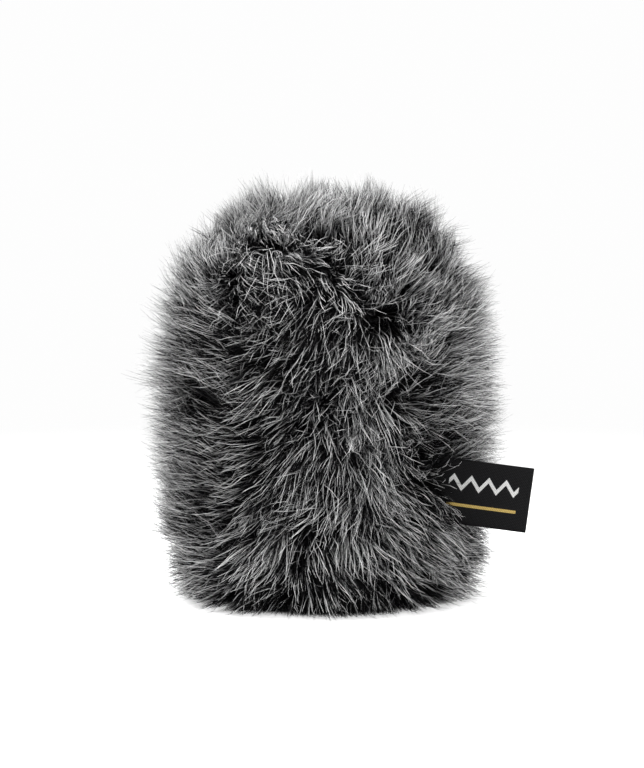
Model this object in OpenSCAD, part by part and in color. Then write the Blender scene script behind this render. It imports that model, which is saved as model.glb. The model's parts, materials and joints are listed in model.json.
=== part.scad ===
// Furry windscreen for a small barrel microphone: a sewn cover of long-pile fur over a cored foam
// body, with a moulded collar in its mouth that grips the microphone and holds the cover's hem.
// Z is the bore's axis, the mouth opens at z = 0, -Y is the front and the label is on the +X side.

/* [Foam body] */
// Radius of the foam
foam_r = 25; // [20:0.5:32]
// Height of the foam's top above the mouth
foam_h = 84; // [70:1:110]
// Height of the foam's rounded shoulder
shoulder_t = 34; // [24:1:40]
// How square the foam's shoulder is: 2 is an ellipse
foam_power = 5; // [3:0.5:7]
// Depth to which the microphone goes in
bore_depth = 64; // [54:1:76]
// Clearance round the microphone in the foam
mic_ease = 0.2; // [0.1:0.05:0.4]

/* [Fur cover] */
// Thickness of the fur's knitted backing
backing_t = 1.4; // [0.8:0.1:2]
// Radius of the crown panel's seam
crown_r = 19; // [14:0.5:19.5]
// Thickness of the sewing thread, which fills the seams
thread_d = 0.8; // [0.5:0.1:1]
// Thickness of the woven base cloth
base_t = 0.8; // [0.5:0.1:1]

/* [Pile] */
// Depth of the pile at the widest place
side_pile = 13.3; // [8:0.1:20]
// Depth of the pile where it meets the surface below
foot_pile = 6.3; // [3:0.1:12]
// Depth of the pile on top of the crown
crown_pile = 10.3; // [6:0.1:20]
// Height of the pile's widest place
belly_h = 46; // [36:1:60]
// How square the pile's shoulder is: 2 is an ellipse
pile_power = 2.8; // [2:0.1:4]
// How far outside the crown's seam its pile parts from the sides' pile
parting_w = 8; // [4:0.5:10]
// How wide the pile parts over the side seams
parting_gap = 2.4; // [1:0.1:4]

/* [Collar] */
// Radius of the collar's bore, which grips the microphone
collar_bore_r = 10.5; // [8:0.1:12.6]
// Thickness of the collar's tube
tube_t = 2.5; // [1.5:0.1:3]
// Height of the collar
collar_h = 16; // [12:0.5:24]
// How far the lip reaches past the tube, under the hem
lip_w = 2.6; // [1.5:0.1:3]
// Thickness of the lip
lip_t = 1.6; // [1:0.1:2.5]
// Radius of the collar's rounded edges
edge_r = 0.6; // [0.2:0.1:0.9]
// How far the flange's edge lies inside the foam's side
flange_inset = 2.5; // [1:0.1:4]
// Thickness of the flange
flange_t = 1.8; // [1:0.1:3]
// Number of grip grooves round the collar's bore
grip_grooves = 4; // [0:1:5]
// Depth of the grip grooves
groove_d = 0.6; // [0.2:0.1:1]
// Number of slots that let the collar's tube spread
flex_slots = 6; // [0:1:8]
// Width of the flex slots
slot_w = 1.2; // [0.8:0.1:2]
// Solid length of tube between the flange and the slots
slot_root = 2; // [1:0.5:4]

/* [Hem] */
// Width of the bound hem
hem_w = 3.2; // [2.6:0.1:4]
// Height of the bound hem
hem_h = 3; // [2.4:0.1:4]
// Thickness of the binding tape
tape_t = 0.6; // [0.3:0.1:0.8]
// Thickness of the hem's row of stitches
stitch_t = 0.4; // [0.2:0.05:0.5]

/* [Label] */
// Width of the woven ribbon
label_w = 14.8; // [10:0.2:20]
// Length of the folded label past its hinge line
label_l = 22.3; // [16:0.1:30]
// Thickness of one layer of the ribbon
ribbon_t = 0.35; // [0.2:0.05:0.5]
// Space between the two layers
ribbon_gap = 0.5; // [0.2:0.1:1]
// How far the label stands out of the backing before it bends
label_root = 2.1; // [1.5:0.1:4]
// Height of the label's middle at its hinge line
label_z = 27.4; // [20:0.2:45]
// Angle at which the label droops
label_tilt = 7.7; // [0:0.1:12]
// Angle through which the label swings each way
label_swing = 20; // [5:1:25]

/* [Clearance] */
// Clearance between soft pieces that lie on each other
soft_gap = 0.3; // [0.1:0.05:0.5]
// Clearance of a piece that is held in its seat
seat_gap = 0.1; // [0.05:0.05:0.2]

/* [Hidden] */

// Azimuths of the side seams, turning from the front towards +X, and the angle of each side panel
right_seam = 60;
panel_angle = 120;
rear_seam = right_seam + panel_angle;
left_seam = rear_seam + panel_angle;

// The foam's rounded shoulder and the bore that the microphone runs in
shoulder_h = foam_h - shoulder_t;
foam_bore_r = collar_bore_r + mic_ease;

// The cover's backing, inside and outside
cover_r = foam_r + soft_gap;
cover_h = foam_h + soft_gap;
cloth_r = cover_r + backing_t;
cloth_h = cover_h + backing_t;

// The outline over the pile
pile_r = cloth_r + side_pile;
foot_r = cloth_r + foot_pile;
pile_h = cloth_h + crown_pile;
parting_r = crown_r + parting_w;

// The bound hem, on the collar's tube above its lip
tube_r = collar_bore_r + tube_t;
lip_r = tube_r + lip_w;
hem_r = tube_r + soft_gap;
hem_z = lip_t + stitch_t + soft_gap;
hem_stitch_r = hem_r + hem_w - tape_t;

// The grooves share the bore's length evenly with the ribs between them
groove_pitch = collar_h / (grip_grooves + 1);
groove_h = groove_pitch / 2;
groove_bevel = groove_d / 2;

// The collar's flange over the hem, the foam on top of it and the base cloth under it
flange_r = foam_r - flange_inset;
flange_z = hem_z + hem_h + soft_gap;
foam_z = flange_z + flange_t;
base_z = flange_z - seat_gap - base_t;

// The crown's seam runs outwards from the backing's inside to the parting in the pile
seam_in = dome_point(cover_r, shoulder_h, cover_h, foam_power, acos(crown_r / cover_r));
seam_out = dome_point(pile_r, belly_h, pile_h, pile_power, acos(parting_r / pile_r));
seam_along = (seam_out - seam_in) / norm(seam_out - seam_in);
seam_across = [-seam_along.y, seam_along.x] * thread_d / 2;

// The label's hinge line stands in the right seam
hinge_r = cloth_r + label_root;
label_t = 2 * ribbon_t + ribbon_gap;
root_gap = label_t / 2;
tail_l = hinge_r - cover_r - label_w / 2 * sin(label_tilt);
swing_room = label_t / 2 + 2 * soft_gap;
swing_reach = pile_r - hinge_r / 2;

// Steps along the curved outlines, and sides of the revolved solids
dome_steps = 12;
foot_steps = 6;
edge_steps = 4;
round_fn = 96;
margin = 1;

// A point of a dome outline with vertical sides up to low_z and a top at high_z, at angle a
function dome_point(r, low_z, high_z, power, a) =
    [r * cos(a), low_z + (high_z - low_z) * pow(sin(a), 2 / power)];

// The angle at which that outline has height z
function dome_angle(low_z, high_z, power, z) = asin(pow((z - low_z) / (high_z - low_z), power / 2));

// That outline from angle a0 to angle a1
function dome(r, low_z, high_z, power, a0, a1) =
    [for (i = [0:dome_steps]) dome_point(r, low_z, high_z, power, a0 + (a1 - a0) * i / dome_steps)];

// The pile's outline from the surface below up to its widest place, without that place itself
function foot_outline() =
    [for (i = [0:foot_steps - 1])
        let (share = 1 - i / foot_steps) [pile_r - (pile_r - foot_r) * share * share, belly_h * (1 - share)]];

// A round edge about a centre
function round_edge(centre, r, a0, a1) =
    [for (i = [0:edge_steps]) let (a = a0 + (a1 - a0) * i / edge_steps) centre + r * [cos(a), sin(a)]];

function reversed(points) = [for (i = [len(points) - 1:-1:0]) points[i]];

function without_end(points) = [for (i = [0:len(points) - 2]) points[i]];

// An outline of the backing from the side up to a radius near the crown's seam
function side_outline(r, h, end_r) = dome(r, shoulder_h, h, foam_power, 0, acos(end_r / r));

// Turns the XZ plane to the azimuth of a seam
module at_azimuth(azimuth) {
    rotate([0, 0, azimuth - 90])
        children();
}

// Places the label's own axes: X along it, Y through it and Z across it
module at_label() {
    at_azimuth(right_seam)
        translate([hinge_r, 0, label_z])
            rotate([0, 0, 90 - right_seam])
                rotate([0, label_tilt, 0])
                    children();
}

module ring(r, z, d) {
    rotate_extrude($fn = round_fn)
        translate([r, z])
            circle(d = d, $fn = 16);
}

// Backing and pile of a side panel in section, with its lower edge turned to the base cloth
module side_panel_section() {
    polygon(concat(
        foot_outline(),
        without_end(dome(pile_r, belly_h, pile_h, pile_power, 0, acos(parting_r / pile_r))),
        [seam_out - seam_across, seam_in - seam_across],
        reversed(side_outline(cover_r, cover_h, crown_r + thread_d)),
        [[cover_r, base_z + base_t + thread_d],
         [cover_r + thread_d, base_z + base_t],
         [cover_r + thread_d, base_z],
         [cloth_r + thread_d, 0]]
    ));
}

module crown_section() {
    inside = reversed(dome(cover_r, shoulder_h, cover_h, foam_power, acos((crown_r - thread_d) / cover_r), 90));
    outside = dome(pile_r, belly_h, pile_h, pile_power, acos(parting_r / pile_r), 90);
    polygon(concat(
        inside,
        [seam_in + seam_across, seam_out + seam_across],
        [for (i = [1:len(outside) - 1]) outside[i]]
    ));
}

// The room in the pile that the label swings in
module label_room() {
    spread = swing_room + swing_reach * tan(label_swing);
    at_label()
        linear_extrude(height = label_w + 4 * soft_gap, center = true)
            polygon([[-2 * soft_gap, -swing_room], [0, -swing_room], [swing_reach, -spread],
                     [swing_reach, spread], [0, swing_room], [-2 * soft_gap, swing_room]]);
}

// The slot of a side seam, as wide as its thread, and the parting that the pile falls away from
module seam_parting(azimuth) {
    half = thread_d / 2;
    spread = parting_gap / 2;
    at_azimuth(azimuth)
        translate([0, 0, -margin])
            linear_extrude(height = pile_h)
                polygon([[0, -half], [cloth_r, -half], [pile_r + margin, -half - spread],
                         [pile_r + margin, half + spread], [cloth_r, half], [0, half]]);
}

// A side panel from one seam's azimuth to the next, cut back for the thread at both
module side_panel(azimuth) {
    difference() {
        at_azimuth(azimuth)
            rotate_extrude(angle = panel_angle, $fn = round_fn)
                side_panel_section();
        for (seam = [azimuth, azimuth + panel_angle])
            seam_parting(seam);
        label_room();
    }
}

module fur_front_panel() {
    color("#3a3a3c")
        side_panel(left_seam);
}

module fur_rear_right_panel() {
    color("#343436")
        side_panel(right_seam);
}

module fur_rear_left_panel() {
    color("#303032")
        side_panel(rear_seam);
}

module fur_crown_panel() {
    color("#444446")
        rotate_extrude($fn = round_fn)
            crown_section();
}

// Thread that joins two side panels' backings, from the base cloth up to the crown
module side_seam(azimuth) {
    low = base_z + base_t + thread_d;
    end_r = crown_r + 1.5 * thread_d;
    at_azimuth(azimuth)
        rotate([90, 0, 0])
            linear_extrude(height = thread_d, center = true)
                polygon(concat(
                    [[cover_r, low]],
                    side_outline(cover_r, cover_h, end_r),
                    reversed(side_outline(cloth_r, cloth_h, end_r)),
                    [[cloth_r, low]]
                ));
}

module seam_front_right() {
    color("black")
        difference() {
            side_seam(right_seam);
            tail_sheet();
        }
}

module seam_front_left() {
    color("black")
        side_seam(left_seam);
}

module seam_rear() {
    color("black")
        side_seam(rear_seam);
}

module seam_crown() {
    centre = seam_in + seam_along * backing_t / 2;
    color("black")
        ring(centre.x, centre.y, thread_d - seat_gap);
}

module base_panel() {
    color("#1c1c1e")
        difference() {
            translate([0, 0, base_z])
                cylinder(r = cover_r - seat_gap, h = base_t, $fn = round_fn);
            translate([0, 0, base_z - margin])
                cylinder(r = hem_r + hem_w + seat_gap, h = base_t + 2 * margin, $fn = round_fn);
        }
}

module seam_base() {
    color("black")
        ring(cover_r + thread_d / 2, base_z + base_t / 2, thread_d - seat_gap);
}

// Tape folded round the mouth's edge into a channel
module mouth_binding() {
    color("#141416")
        rotate_extrude($fn = round_fn)
            translate([hem_r, hem_z])
                difference() {
                    square([hem_w, hem_h]);
                    translate([tape_t, tape_t])
                        square([hem_w - 2 * tape_t, hem_h - 2 * tape_t]);
                }
}

module mouth_elastic() {
    inset = tape_t + seat_gap;
    color("#d8d8d4")
        rotate_extrude($fn = round_fn)
            translate([hem_r + inset, hem_z + inset])
                square([hem_w - 2 * inset, hem_h - 2 * inset]);
}

module binding_stitches() {
    color("#2a2a2c")
        rotate_extrude($fn = round_fn)
            translate([hem_stitch_r - stitch_t, hem_z - stitch_t])
                square(stitch_t);
}

// One groove's section on the bore's wall, from its upper edge down to its lower edge
function groove(z) = [
    [collar_bore_r, z + groove_h / 2],
    [collar_bore_r + groove_d, z + groove_h / 2 - groove_bevel],
    [collar_bore_r + groove_d, z - groove_h / 2 + groove_bevel],
    [collar_bore_r, z - groove_h / 2]
];

// Rubber bush: a lip under the hem, a flange under the foam and a tube up into the foam
module collar_body() {
    rotate_extrude($fn = round_fn)
        polygon(concat(
            [[collar_bore_r, 0]],
            round_edge([lip_r - edge_r, edge_r], edge_r, -90, 0),
            [[lip_r, lip_t], [tube_r, lip_t], [tube_r, flange_z]],
            [[flange_r, flange_z], [flange_r, foam_z], [tube_r, foam_z]],
            round_edge([tube_r - edge_r, collar_h - edge_r], edge_r, 0, 90),
            [[collar_bore_r, collar_h]],
            [for (i = [grip_grooves:-1:1], point = groove(i * groove_pitch)) point]
        ));
}

// Slots up from the flange's root through the tube's end, so that the ribs give round the microphone
module grip_collar() {
    slot_z = foam_z + slot_root;
    color("#26262a")
        difference() {
            collar_body();
            for (i = [0:1:flex_slots - 1])
                rotate([0, 0, i * 360 / flex_slots])
                    translate([0, -slot_w / 2, slot_z])
                        cube([tube_r + margin, slot_w, collar_h - slot_z + margin]);
        }
}

module foam_sleeve() {
    top_angle = dome_angle(shoulder_h, foam_h, foam_power, bore_depth);
    color("#4a4a4e")
        rotate_extrude($fn = round_fn)
            polygon(concat(
                [[tube_r + soft_gap, foam_z], [foam_r, foam_z]],
                dome(foam_r, shoulder_h, foam_h, foam_power, 0, top_angle),
                [[foam_bore_r, bore_depth],
                 [foam_bore_r, collar_h + soft_gap],
                 [tube_r + soft_gap, collar_h + soft_gap]]
            ));
}

module foam_nose() {
    top_angle = dome_angle(shoulder_h, foam_h, foam_power, bore_depth);
    color("#505054")
        rotate_extrude($fn = round_fn)
            polygon(concat(
                [[0, bore_depth]],
                dome(foam_r, shoulder_h, foam_h, foam_power, top_angle, 90)
            ));
}

// The ribbon's two ends, pressed together between the side panels
module tail_sheet() {
    at_azimuth(right_seam)
        translate([hinge_r, 0, label_z])
            rotate([0, label_tilt, 0])
                translate([-tail_l, -thread_d / 2, -label_w / 2])
                    cube([tail_l - soft_gap, thread_d, label_w]);
}

module label_tail() {
    color("#18181a")
        tail_sheet();
}

// Ribbon folded back on itself, open towards the seam and closed by its fold
module label() {
    fold_x = label_l - label_t / 2;
    color("#18181a")
        at_label()
            linear_extrude(height = label_w, center = true)
                difference() {
                    union() {
                        translate([root_gap, -label_t / 2])
                            square([fold_x - root_gap, label_t]);
                        translate([fold_x, 0])
                            circle(d = label_t, $fn = 32);
                    }
                    translate([-margin, -ribbon_gap / 2])
                        square([fold_x + margin, ribbon_gap]);
                    translate([fold_x, 0])
                        circle(d = ribbon_gap, $fn = 32);
                }
}

fur_front_panel();
fur_rear_right_panel();
fur_rear_left_panel();
fur_crown_panel();
seam_front_right();
seam_front_left();
seam_rear();
seam_crown();
base_panel();
seam_base();
mouth_binding();
binding_stitches();
mouth_elastic();
grip_collar();
foam_sleeve();
foam_nose();
label_tail();
label();
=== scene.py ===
"""Looks of the furry windscreen: long pile, woven side label, hem, grip collar and foam.

Lengths are in metres. Z is the bore's axis, -Y is the front and the label is on the +X side.
An azimuth is in degrees and turns from the front towards +X, as on the cover's seams.
"""
import json
import math

import bpy
import numpy as np
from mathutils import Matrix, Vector


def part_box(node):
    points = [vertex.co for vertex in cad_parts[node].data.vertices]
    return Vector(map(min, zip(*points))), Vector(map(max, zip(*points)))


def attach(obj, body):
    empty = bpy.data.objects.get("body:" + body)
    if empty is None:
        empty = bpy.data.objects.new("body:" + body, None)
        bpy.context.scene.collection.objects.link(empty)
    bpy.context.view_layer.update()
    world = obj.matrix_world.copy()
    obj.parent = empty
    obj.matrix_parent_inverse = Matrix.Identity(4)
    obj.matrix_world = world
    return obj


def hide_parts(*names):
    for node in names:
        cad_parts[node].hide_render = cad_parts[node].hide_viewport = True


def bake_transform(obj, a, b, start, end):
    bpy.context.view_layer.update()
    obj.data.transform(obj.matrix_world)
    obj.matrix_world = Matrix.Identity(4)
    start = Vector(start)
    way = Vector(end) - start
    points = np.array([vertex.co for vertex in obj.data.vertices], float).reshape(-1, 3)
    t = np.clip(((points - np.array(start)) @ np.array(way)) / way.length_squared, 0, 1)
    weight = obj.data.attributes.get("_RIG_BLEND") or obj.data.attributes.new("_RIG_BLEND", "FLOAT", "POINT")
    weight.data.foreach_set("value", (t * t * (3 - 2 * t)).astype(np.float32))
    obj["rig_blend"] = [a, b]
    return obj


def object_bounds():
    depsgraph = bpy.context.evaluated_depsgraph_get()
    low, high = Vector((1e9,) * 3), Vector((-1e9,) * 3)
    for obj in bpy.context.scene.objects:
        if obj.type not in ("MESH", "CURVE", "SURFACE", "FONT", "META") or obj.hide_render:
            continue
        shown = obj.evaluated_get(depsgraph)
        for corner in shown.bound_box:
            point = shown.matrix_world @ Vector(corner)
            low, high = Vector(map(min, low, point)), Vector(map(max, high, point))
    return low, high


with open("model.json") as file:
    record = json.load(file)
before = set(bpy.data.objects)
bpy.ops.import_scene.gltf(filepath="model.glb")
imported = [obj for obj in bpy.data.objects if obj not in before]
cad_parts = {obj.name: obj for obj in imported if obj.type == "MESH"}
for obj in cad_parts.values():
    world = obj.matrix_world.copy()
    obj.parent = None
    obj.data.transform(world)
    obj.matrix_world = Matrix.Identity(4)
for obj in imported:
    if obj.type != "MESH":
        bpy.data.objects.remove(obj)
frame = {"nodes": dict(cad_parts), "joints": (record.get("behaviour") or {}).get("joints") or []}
cad_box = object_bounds()

MM = 0.001

# The fibres' own map, under the name that the export bakes on
BAKE_MAP = "OFBake"


def middle_height(node):
    """The height halfway up a CAD node."""
    low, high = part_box(node)
    return (low.z + high.z) / 2


# Sizes read from the frame
sleeve_low, sleeve_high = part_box("foam_sleeve")
foam_radius = sleeve_high.x
foam_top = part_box("foam_nose")[1].z
thread_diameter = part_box("seam_base")[1].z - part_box("seam_base")[0].z
cloth_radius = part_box("seam_rear")[1].y
cloth_top = foam_top + cloth_radius - foam_radius
crown_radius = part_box("seam_crown")[1].x - thread_diameter / 2
base_low, base_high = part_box("base_panel")
hem_low, hem_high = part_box("mouth_binding")
elastic_low, elastic_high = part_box("mouth_elastic")
stitch_low, stitch_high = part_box("binding_stitches")
collar_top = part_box("grip_collar")[1].z
label_low, label_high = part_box("label")
pile_top = cad_box[1].z
hinge_point = Vector(frame["joints"][0]["pos_m"])
hinge_axis = Vector(frame["joints"][0]["axis"]).normalized()
label_droop = math.atan2(hinge_axis.x, hinge_axis.z)

# The side seams and their azimuths
SIDE_SEAMS = {"seam_front_right": 60, "seam_rear": 180, "seam_front_left": 300}

# The outline that the foam and the cloth share: a straight side, then a square shoulder. It is drawn in
# this many steps before it is spaced evenly
SHOULDER = 34 * MM
SHOULDER_POWER = 5.0
OUTLINE_STEPS = 400


def evenly(points, steps):
    """The same polyline with steps + 1 evenly spaced points."""
    points = np.array(points)
    lengths = np.concatenate([[0], np.cumsum(np.linalg.norm(np.diff(points, axis=0), axis=1))])
    wanted = np.linspace(0, lengths[-1], steps + 1)
    return np.stack([np.interp(wanted, lengths, column) for column in points.T], axis=1)


def dome_point(radius, top, angle):
    """(radius, height) on an outline with a square shoulder, at an angle from its straight side."""
    height = (top - SHOULDER) + SHOULDER * math.sin(angle) ** (2 / SHOULDER_POWER)
    return radius * math.cos(angle), height


def dome_outline(radius, top, low, end_radius, steps):
    """Points from the lower edge up to a radius near the crown, evenly spaced."""
    end_angle = math.acos(min(1.0, end_radius / radius))
    fine = [(radius, low)]
    fine += [dome_point(radius, top, end_angle * i / OUTLINE_STEPS) for i in range(1, OUTLINE_STEPS + 1)]
    return evenly(fine, steps)


def around(azimuth, radius, height):
    """The points at azimuths in degrees, radii and heights."""
    a = np.radians(azimuth)
    return np.stack(np.broadcast_arrays(radius * np.sin(a), -radius * np.cos(a), height), axis=-1)


def all_round(count):
    """Evenly spaced azimuths round the whole circle."""
    return np.arange(count) * 360 / count


# ---------------------------------------------------------------- node trees


class Tree:
    """Adds nodes to a node tree. Each method returns the output of the node it adds."""

    def __init__(self, tree):
        self.tree = tree

    def add(self, kind, inputs=None, out=0, **settings):
        node = self.tree.nodes.new(kind)
        for name, value in settings.items():
            setattr(node, name, value)
        for key, value in (inputs or {}).items():
            self.join(value, node.inputs[key])
        return node.outputs[out]

    def join(self, value, socket):
        if isinstance(value, bpy.types.NodeSocket):
            self.tree.links.new(value, socket)
        else:
            socket.default_value = value

    def math(self, operation, a, b=0.0, c=0.0):
        return self.add("ShaderNodeMath", {0: a, 1: b, 2: c}, operation=operation)

    def product(self, first, *others):
        for other in others:
            first = self.math("MULTIPLY", first, other)
        return first

    def total(self, first, *others):
        for other in others:
            first = self.math("ADD", first, other)
        return first

    def vector(self, operation, a, b=(0, 0, 0)):
        return self.add("ShaderNodeVectorMath", {0: a, 1: b}, operation=operation)

    def length(self, vector):
        return self.add("ShaderNodeVectorMath", {0: vector}, "Value", operation="LENGTH")

    def scaled(self, vector, factor):
        return self.add("ShaderNodeVectorMath", {0: vector, "Scale": factor}, operation="SCALE")

    def summed(self, first, *others):
        for other in others:
            first = self.vector("ADD", first, other)
        return first

    def unit(self, vector):
        return self.vector("NORMALIZE", vector)

    def mixed(self, factor, a, b):
        return self.add("ShaderNodeMix", {0: factor, 4: a, 5: b}, 1, data_type="VECTOR")

    def blended(self, factor, a, b, how="MIX"):
        return self.add("ShaderNodeMix", {0: factor, 6: a, 7: b}, 2, data_type="RGBA", blend_type=how)

    def mapped(self, value, low, high, new_low, new_high):
        inputs = {0: value, 1: low, 2: high, 3: new_low, 4: new_high}
        return self.add("ShaderNodeMapRange", inputs, interpolation_type="SMOOTHSTEP")

    def parts(self, vector):
        """The x, y and z of a vector."""
        node = self.tree.nodes.new("ShaderNodeSeparateXYZ")
        self.tree.links.new(vector, node.inputs[0])
        return node.outputs

    def joined(self, x, y, z):
        return self.add("ShaderNodeCombineXYZ", {0: x, 1: y, 2: z})

    def wave(self, value, pitch):
        """A sine from 0 to 1 that repeats at the pitch."""
        turned = self.math("SINE", self.product(value, 2 * math.pi / pitch))
        return self.math("MULTIPLY_ADD", turned, 0.5, 0.5)

    def ramp(self, factor, stops):
        """A colour ramp through stops of (place, colour)."""
        node = self.tree.nodes.new("ShaderNodeValToRGB")
        elements = node.color_ramp.elements
        while len(elements) < len(stops):
            elements.new(0.5)
        for element, (place, colour) in zip(elements, stops):
            element.position = place
            element.color = (*colour, 1)
        self.tree.links.new(factor, node.inputs[0])
        return node.outputs[0]


class GeometryTree(Tree):
    """A geometry node tree with named inputs."""

    def __init__(self, name):
        super().__init__(bpy.data.node_groups.new(name, "GeometryNodeTree"))
        self.tree.is_modifier = True
        self.tree.interface.new_socket("Geometry", in_out="INPUT", socket_type="NodeSocketGeometry")
        self.tree.interface.new_socket("Geometry", in_out="OUTPUT", socket_type="NodeSocketGeometry")
        self.entry = self.tree.nodes.new("NodeGroupInput")
        self.source = self.entry.outputs[0]

    def size(self, name, default):
        """A named input with its default."""
        kind = "NodeSocketInt" if isinstance(default, int) else "NodeSocketFloat"
        socket = self.tree.interface.new_socket(name, in_out="INPUT", socket_type=kind)
        socket.default_value = default
        return self.entry.outputs[name]

    def material(self):
        self.tree.interface.new_socket("Material", in_out="INPUT", socket_type="NodeSocketMaterial")
        return self.entry.outputs["Material"]

    def here(self):
        return self.add("GeometryNodeInputPosition")

    def read(self, name, kind="FLOAT_VECTOR"):
        return self.add("GeometryNodeInputNamedAttribute", {"Name": name}, data_type=kind)

    def number(self, name):
        return self.read(name, "FLOAT")

    def store(self, geometry, name, value, kind="FLOAT_VECTOR", domain="POINT"):
        inputs = {"Geometry": geometry, "Name": name, "Value": value}
        return self.add("GeometryNodeStoreNamedAttribute", inputs, data_type=kind, domain=domain)

    def random_vector(self, seed):
        inputs = {0: (-1.0,) * 3, 1: (1.0,) * 3, 8: seed}
        return self.add("FunctionNodeRandomValue", inputs, 0, data_type="FLOAT_VECTOR")

    def random(self, seed, low=0.0, high=1.0):
        return self.add("FunctionNodeRandomValue", {2: low, 3: high, 8: seed}, 1, data_type="FLOAT")

    def from_index(self, geometry, value, index, kind="FLOAT_VECTOR"):
        inputs = {"Geometry": geometry, "Value": value, "Index": index}
        return self.add("GeometryNodeSampleIndex", inputs, data_type=kind, domain="POINT")

    def finish(self, geometry, material):
        """Realises the geometry and sends it out with its material."""
        whole = self.add("GeometryNodeRealizeInstances", {0: geometry})
        shown = self.add("GeometryNodeSetMaterial", {"Geometry": whole, "Material": material})
        self.tree.links.new(shown, self.tree.nodes.new("NodeGroupOutput").inputs[0])


# What a finished mesh keeps of the attributes stored in its tree
KEPT_ATTRIBUTES = (BAKE_MAP, "material_index", "sharp_face")


def put_in_scene(name, data):
    """A new object with this mesh, lamp or camera, in the scene."""
    thing = bpy.data.objects.new(name, data)
    bpy.context.scene.collection.objects.link(thing)
    return thing


def grown(source, tree, name, values):
    """A plain mesh object: what the tree makes of the source object with these input values."""
    modifier = source.modifiers.new(name, "NODES")
    modifier.node_group = tree
    for item in tree.interface.items_tree:
        if item.in_out == "INPUT" and item.name in values:
            modifier[item.identifier] = values[item.name]
    graph = bpy.context.evaluated_depsgraph_get()
    mesh = bpy.data.meshes.new_from_object(source.evaluated_get(graph), depsgraph=graph)
    source.modifiers.remove(modifier)
    mesh.name = name
    stored = [a.name for a in mesh.attributes if not a.name.startswith(".") and not a.is_required]
    for attribute in stored:
        if attribute not in KEPT_ATTRIBUTES:
            mesh.attributes.remove(mesh.attributes[attribute])
    return put_in_scene(name, mesh)


# ---------------------------------------------------------------- materials


def new_material(name, roughness, **constants):
    """A material, its tree and its Principled shader, with constants on the shader's own sockets."""
    material = bpy.data.materials.new(name)
    material.use_nodes = True
    shader = material.node_tree.nodes["Principled BSDF"]
    shader.inputs["Roughness"].default_value = roughness
    for socket, value in constants.items():
        shader.inputs[socket.replace("_", " ")].default_value = value
    return material, Tree(material.node_tree), shader


def coloured(tree, shader, colour):
    """Colours the shader."""
    tree.tree.links.new(colour, shader.inputs["Base Color"])


def bumped(tree, shader, height, strength, depth):
    """Gives the shader a relief that is this deep."""
    inputs = {"Strength": strength, "Distance": depth, "Height": height}
    tree.tree.links.new(tree.add("ShaderNodeBump", inputs), shader.inputs["Normal"])


def object_places(tree):
    return tree.add("ShaderNodeTexCoord", out="Object")


def noise(tree, places, scale, detail=2.0):
    return tree.add("ShaderNodeTexNoise", {"Vector": places, "Scale": scale, "Detail": detail})


# The coat's mix of dark and pale fibres; a fibre's shade from root to tip, partly its own lighter tip and
# partly painted shade deep in the pile; and the painted glints along it, bands of painted highlight
FIBRE_TONES = [
    (0.00, (0.003, 0.003, 0.0035)),
    (0.62, (0.006, 0.006, 0.0065)),
    (0.66, (0.08, 0.08, 0.081)),
    (0.70, (0.97, 0.97, 0.97)),
    (1.00, (1.0, 1.0, 1.0)),
]
FIBRE_SHADES = [
    (0.00, (0.02, 0.02, 0.02)),
    (0.45, (0.10, 0.10, 0.10)),
    (0.75, (0.80, 0.80, 0.80)),
    (0.92, (1.0, 1.0, 1.0)),
]
# Painted highlights: bands along each fibre that stay full where it would catch the light and darken between
FIBRE_GLINT_BANDS = [(0.30, (0.45, 0.45, 0.45)), (0.58, (1.0, 1.0, 1.0))]
GLINTS_ACROSS_COAT = 160.0
GLINTS_ALONG_FIBRE = 5.0

# The other finishes' tones, from their darkest places to their palest. Except on the rubber, the darkest
# places are the hollows of each finish's relief, so that darkening is painted shade
KNIT_TONES = [(0.3, (0.003, 0.003, 0.0035)), (0.7, (0.010, 0.010, 0.011))]
CLOTH_TONES = [(0.2, (0.006, 0.006, 0.007)), (0.95, (0.035, 0.035, 0.038))]
TAPE_TONES = [(0.2, (0.008, 0.008, 0.009)), (0.95, (0.050, 0.050, 0.054))]
RUBBER_TONES = [(0.3, (0.016, 0.016, 0.018)), (0.7, (0.030, 0.030, 0.033))]
FOAM_TONES = [(0.15, (0.010, 0.010, 0.011)), (0.6, (0.065, 0.065, 0.070))]
THREAD_TONES = [(0.2, (0.012, 0.012, 0.013)), (0.9, (0.060, 0.060, 0.064))]
ELASTIC_TONES = [(0.1, (0.030, 0.030, 0.031)), (0.9, (0.085, 0.085, 0.088))]
GROUND_TONES = [(0.1, (0.001, 0.001, 0.0012)), (0.9, (0.022, 0.022, 0.023))]
WHITE_TONES = [(0.0, (0.42, 0.42, 0.41)), (0.6, (0.80, 0.80, 0.79))]
GOLD_TONES = [(0.0, (0.30, 0.20, 0.05)), (0.6, (0.66, 0.49, 0.17))]

# How much of a woven surface's height comes from its fuzz, its weave and its twill
FUZZ_SHARE = 0.5
WEAVE_SHARE = 0.7
TWILL_SHARE = 0.35

# The pitches of what is woven, braided and twisted
CLOTH_PITCH = 0.5 * MM
TAPE_PITCH = 0.4 * MM
THREAD_TWIST = 0.35 * MM
BRAID_ACROSS = 0.45 * MM
BRAID_ALONG = 0.9 * MM
WARP_PITCH = 0.30 * MM
WEFT_PITCH = 0.34 * MM
TWILL_PITCH = 0.55 * MM


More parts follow.
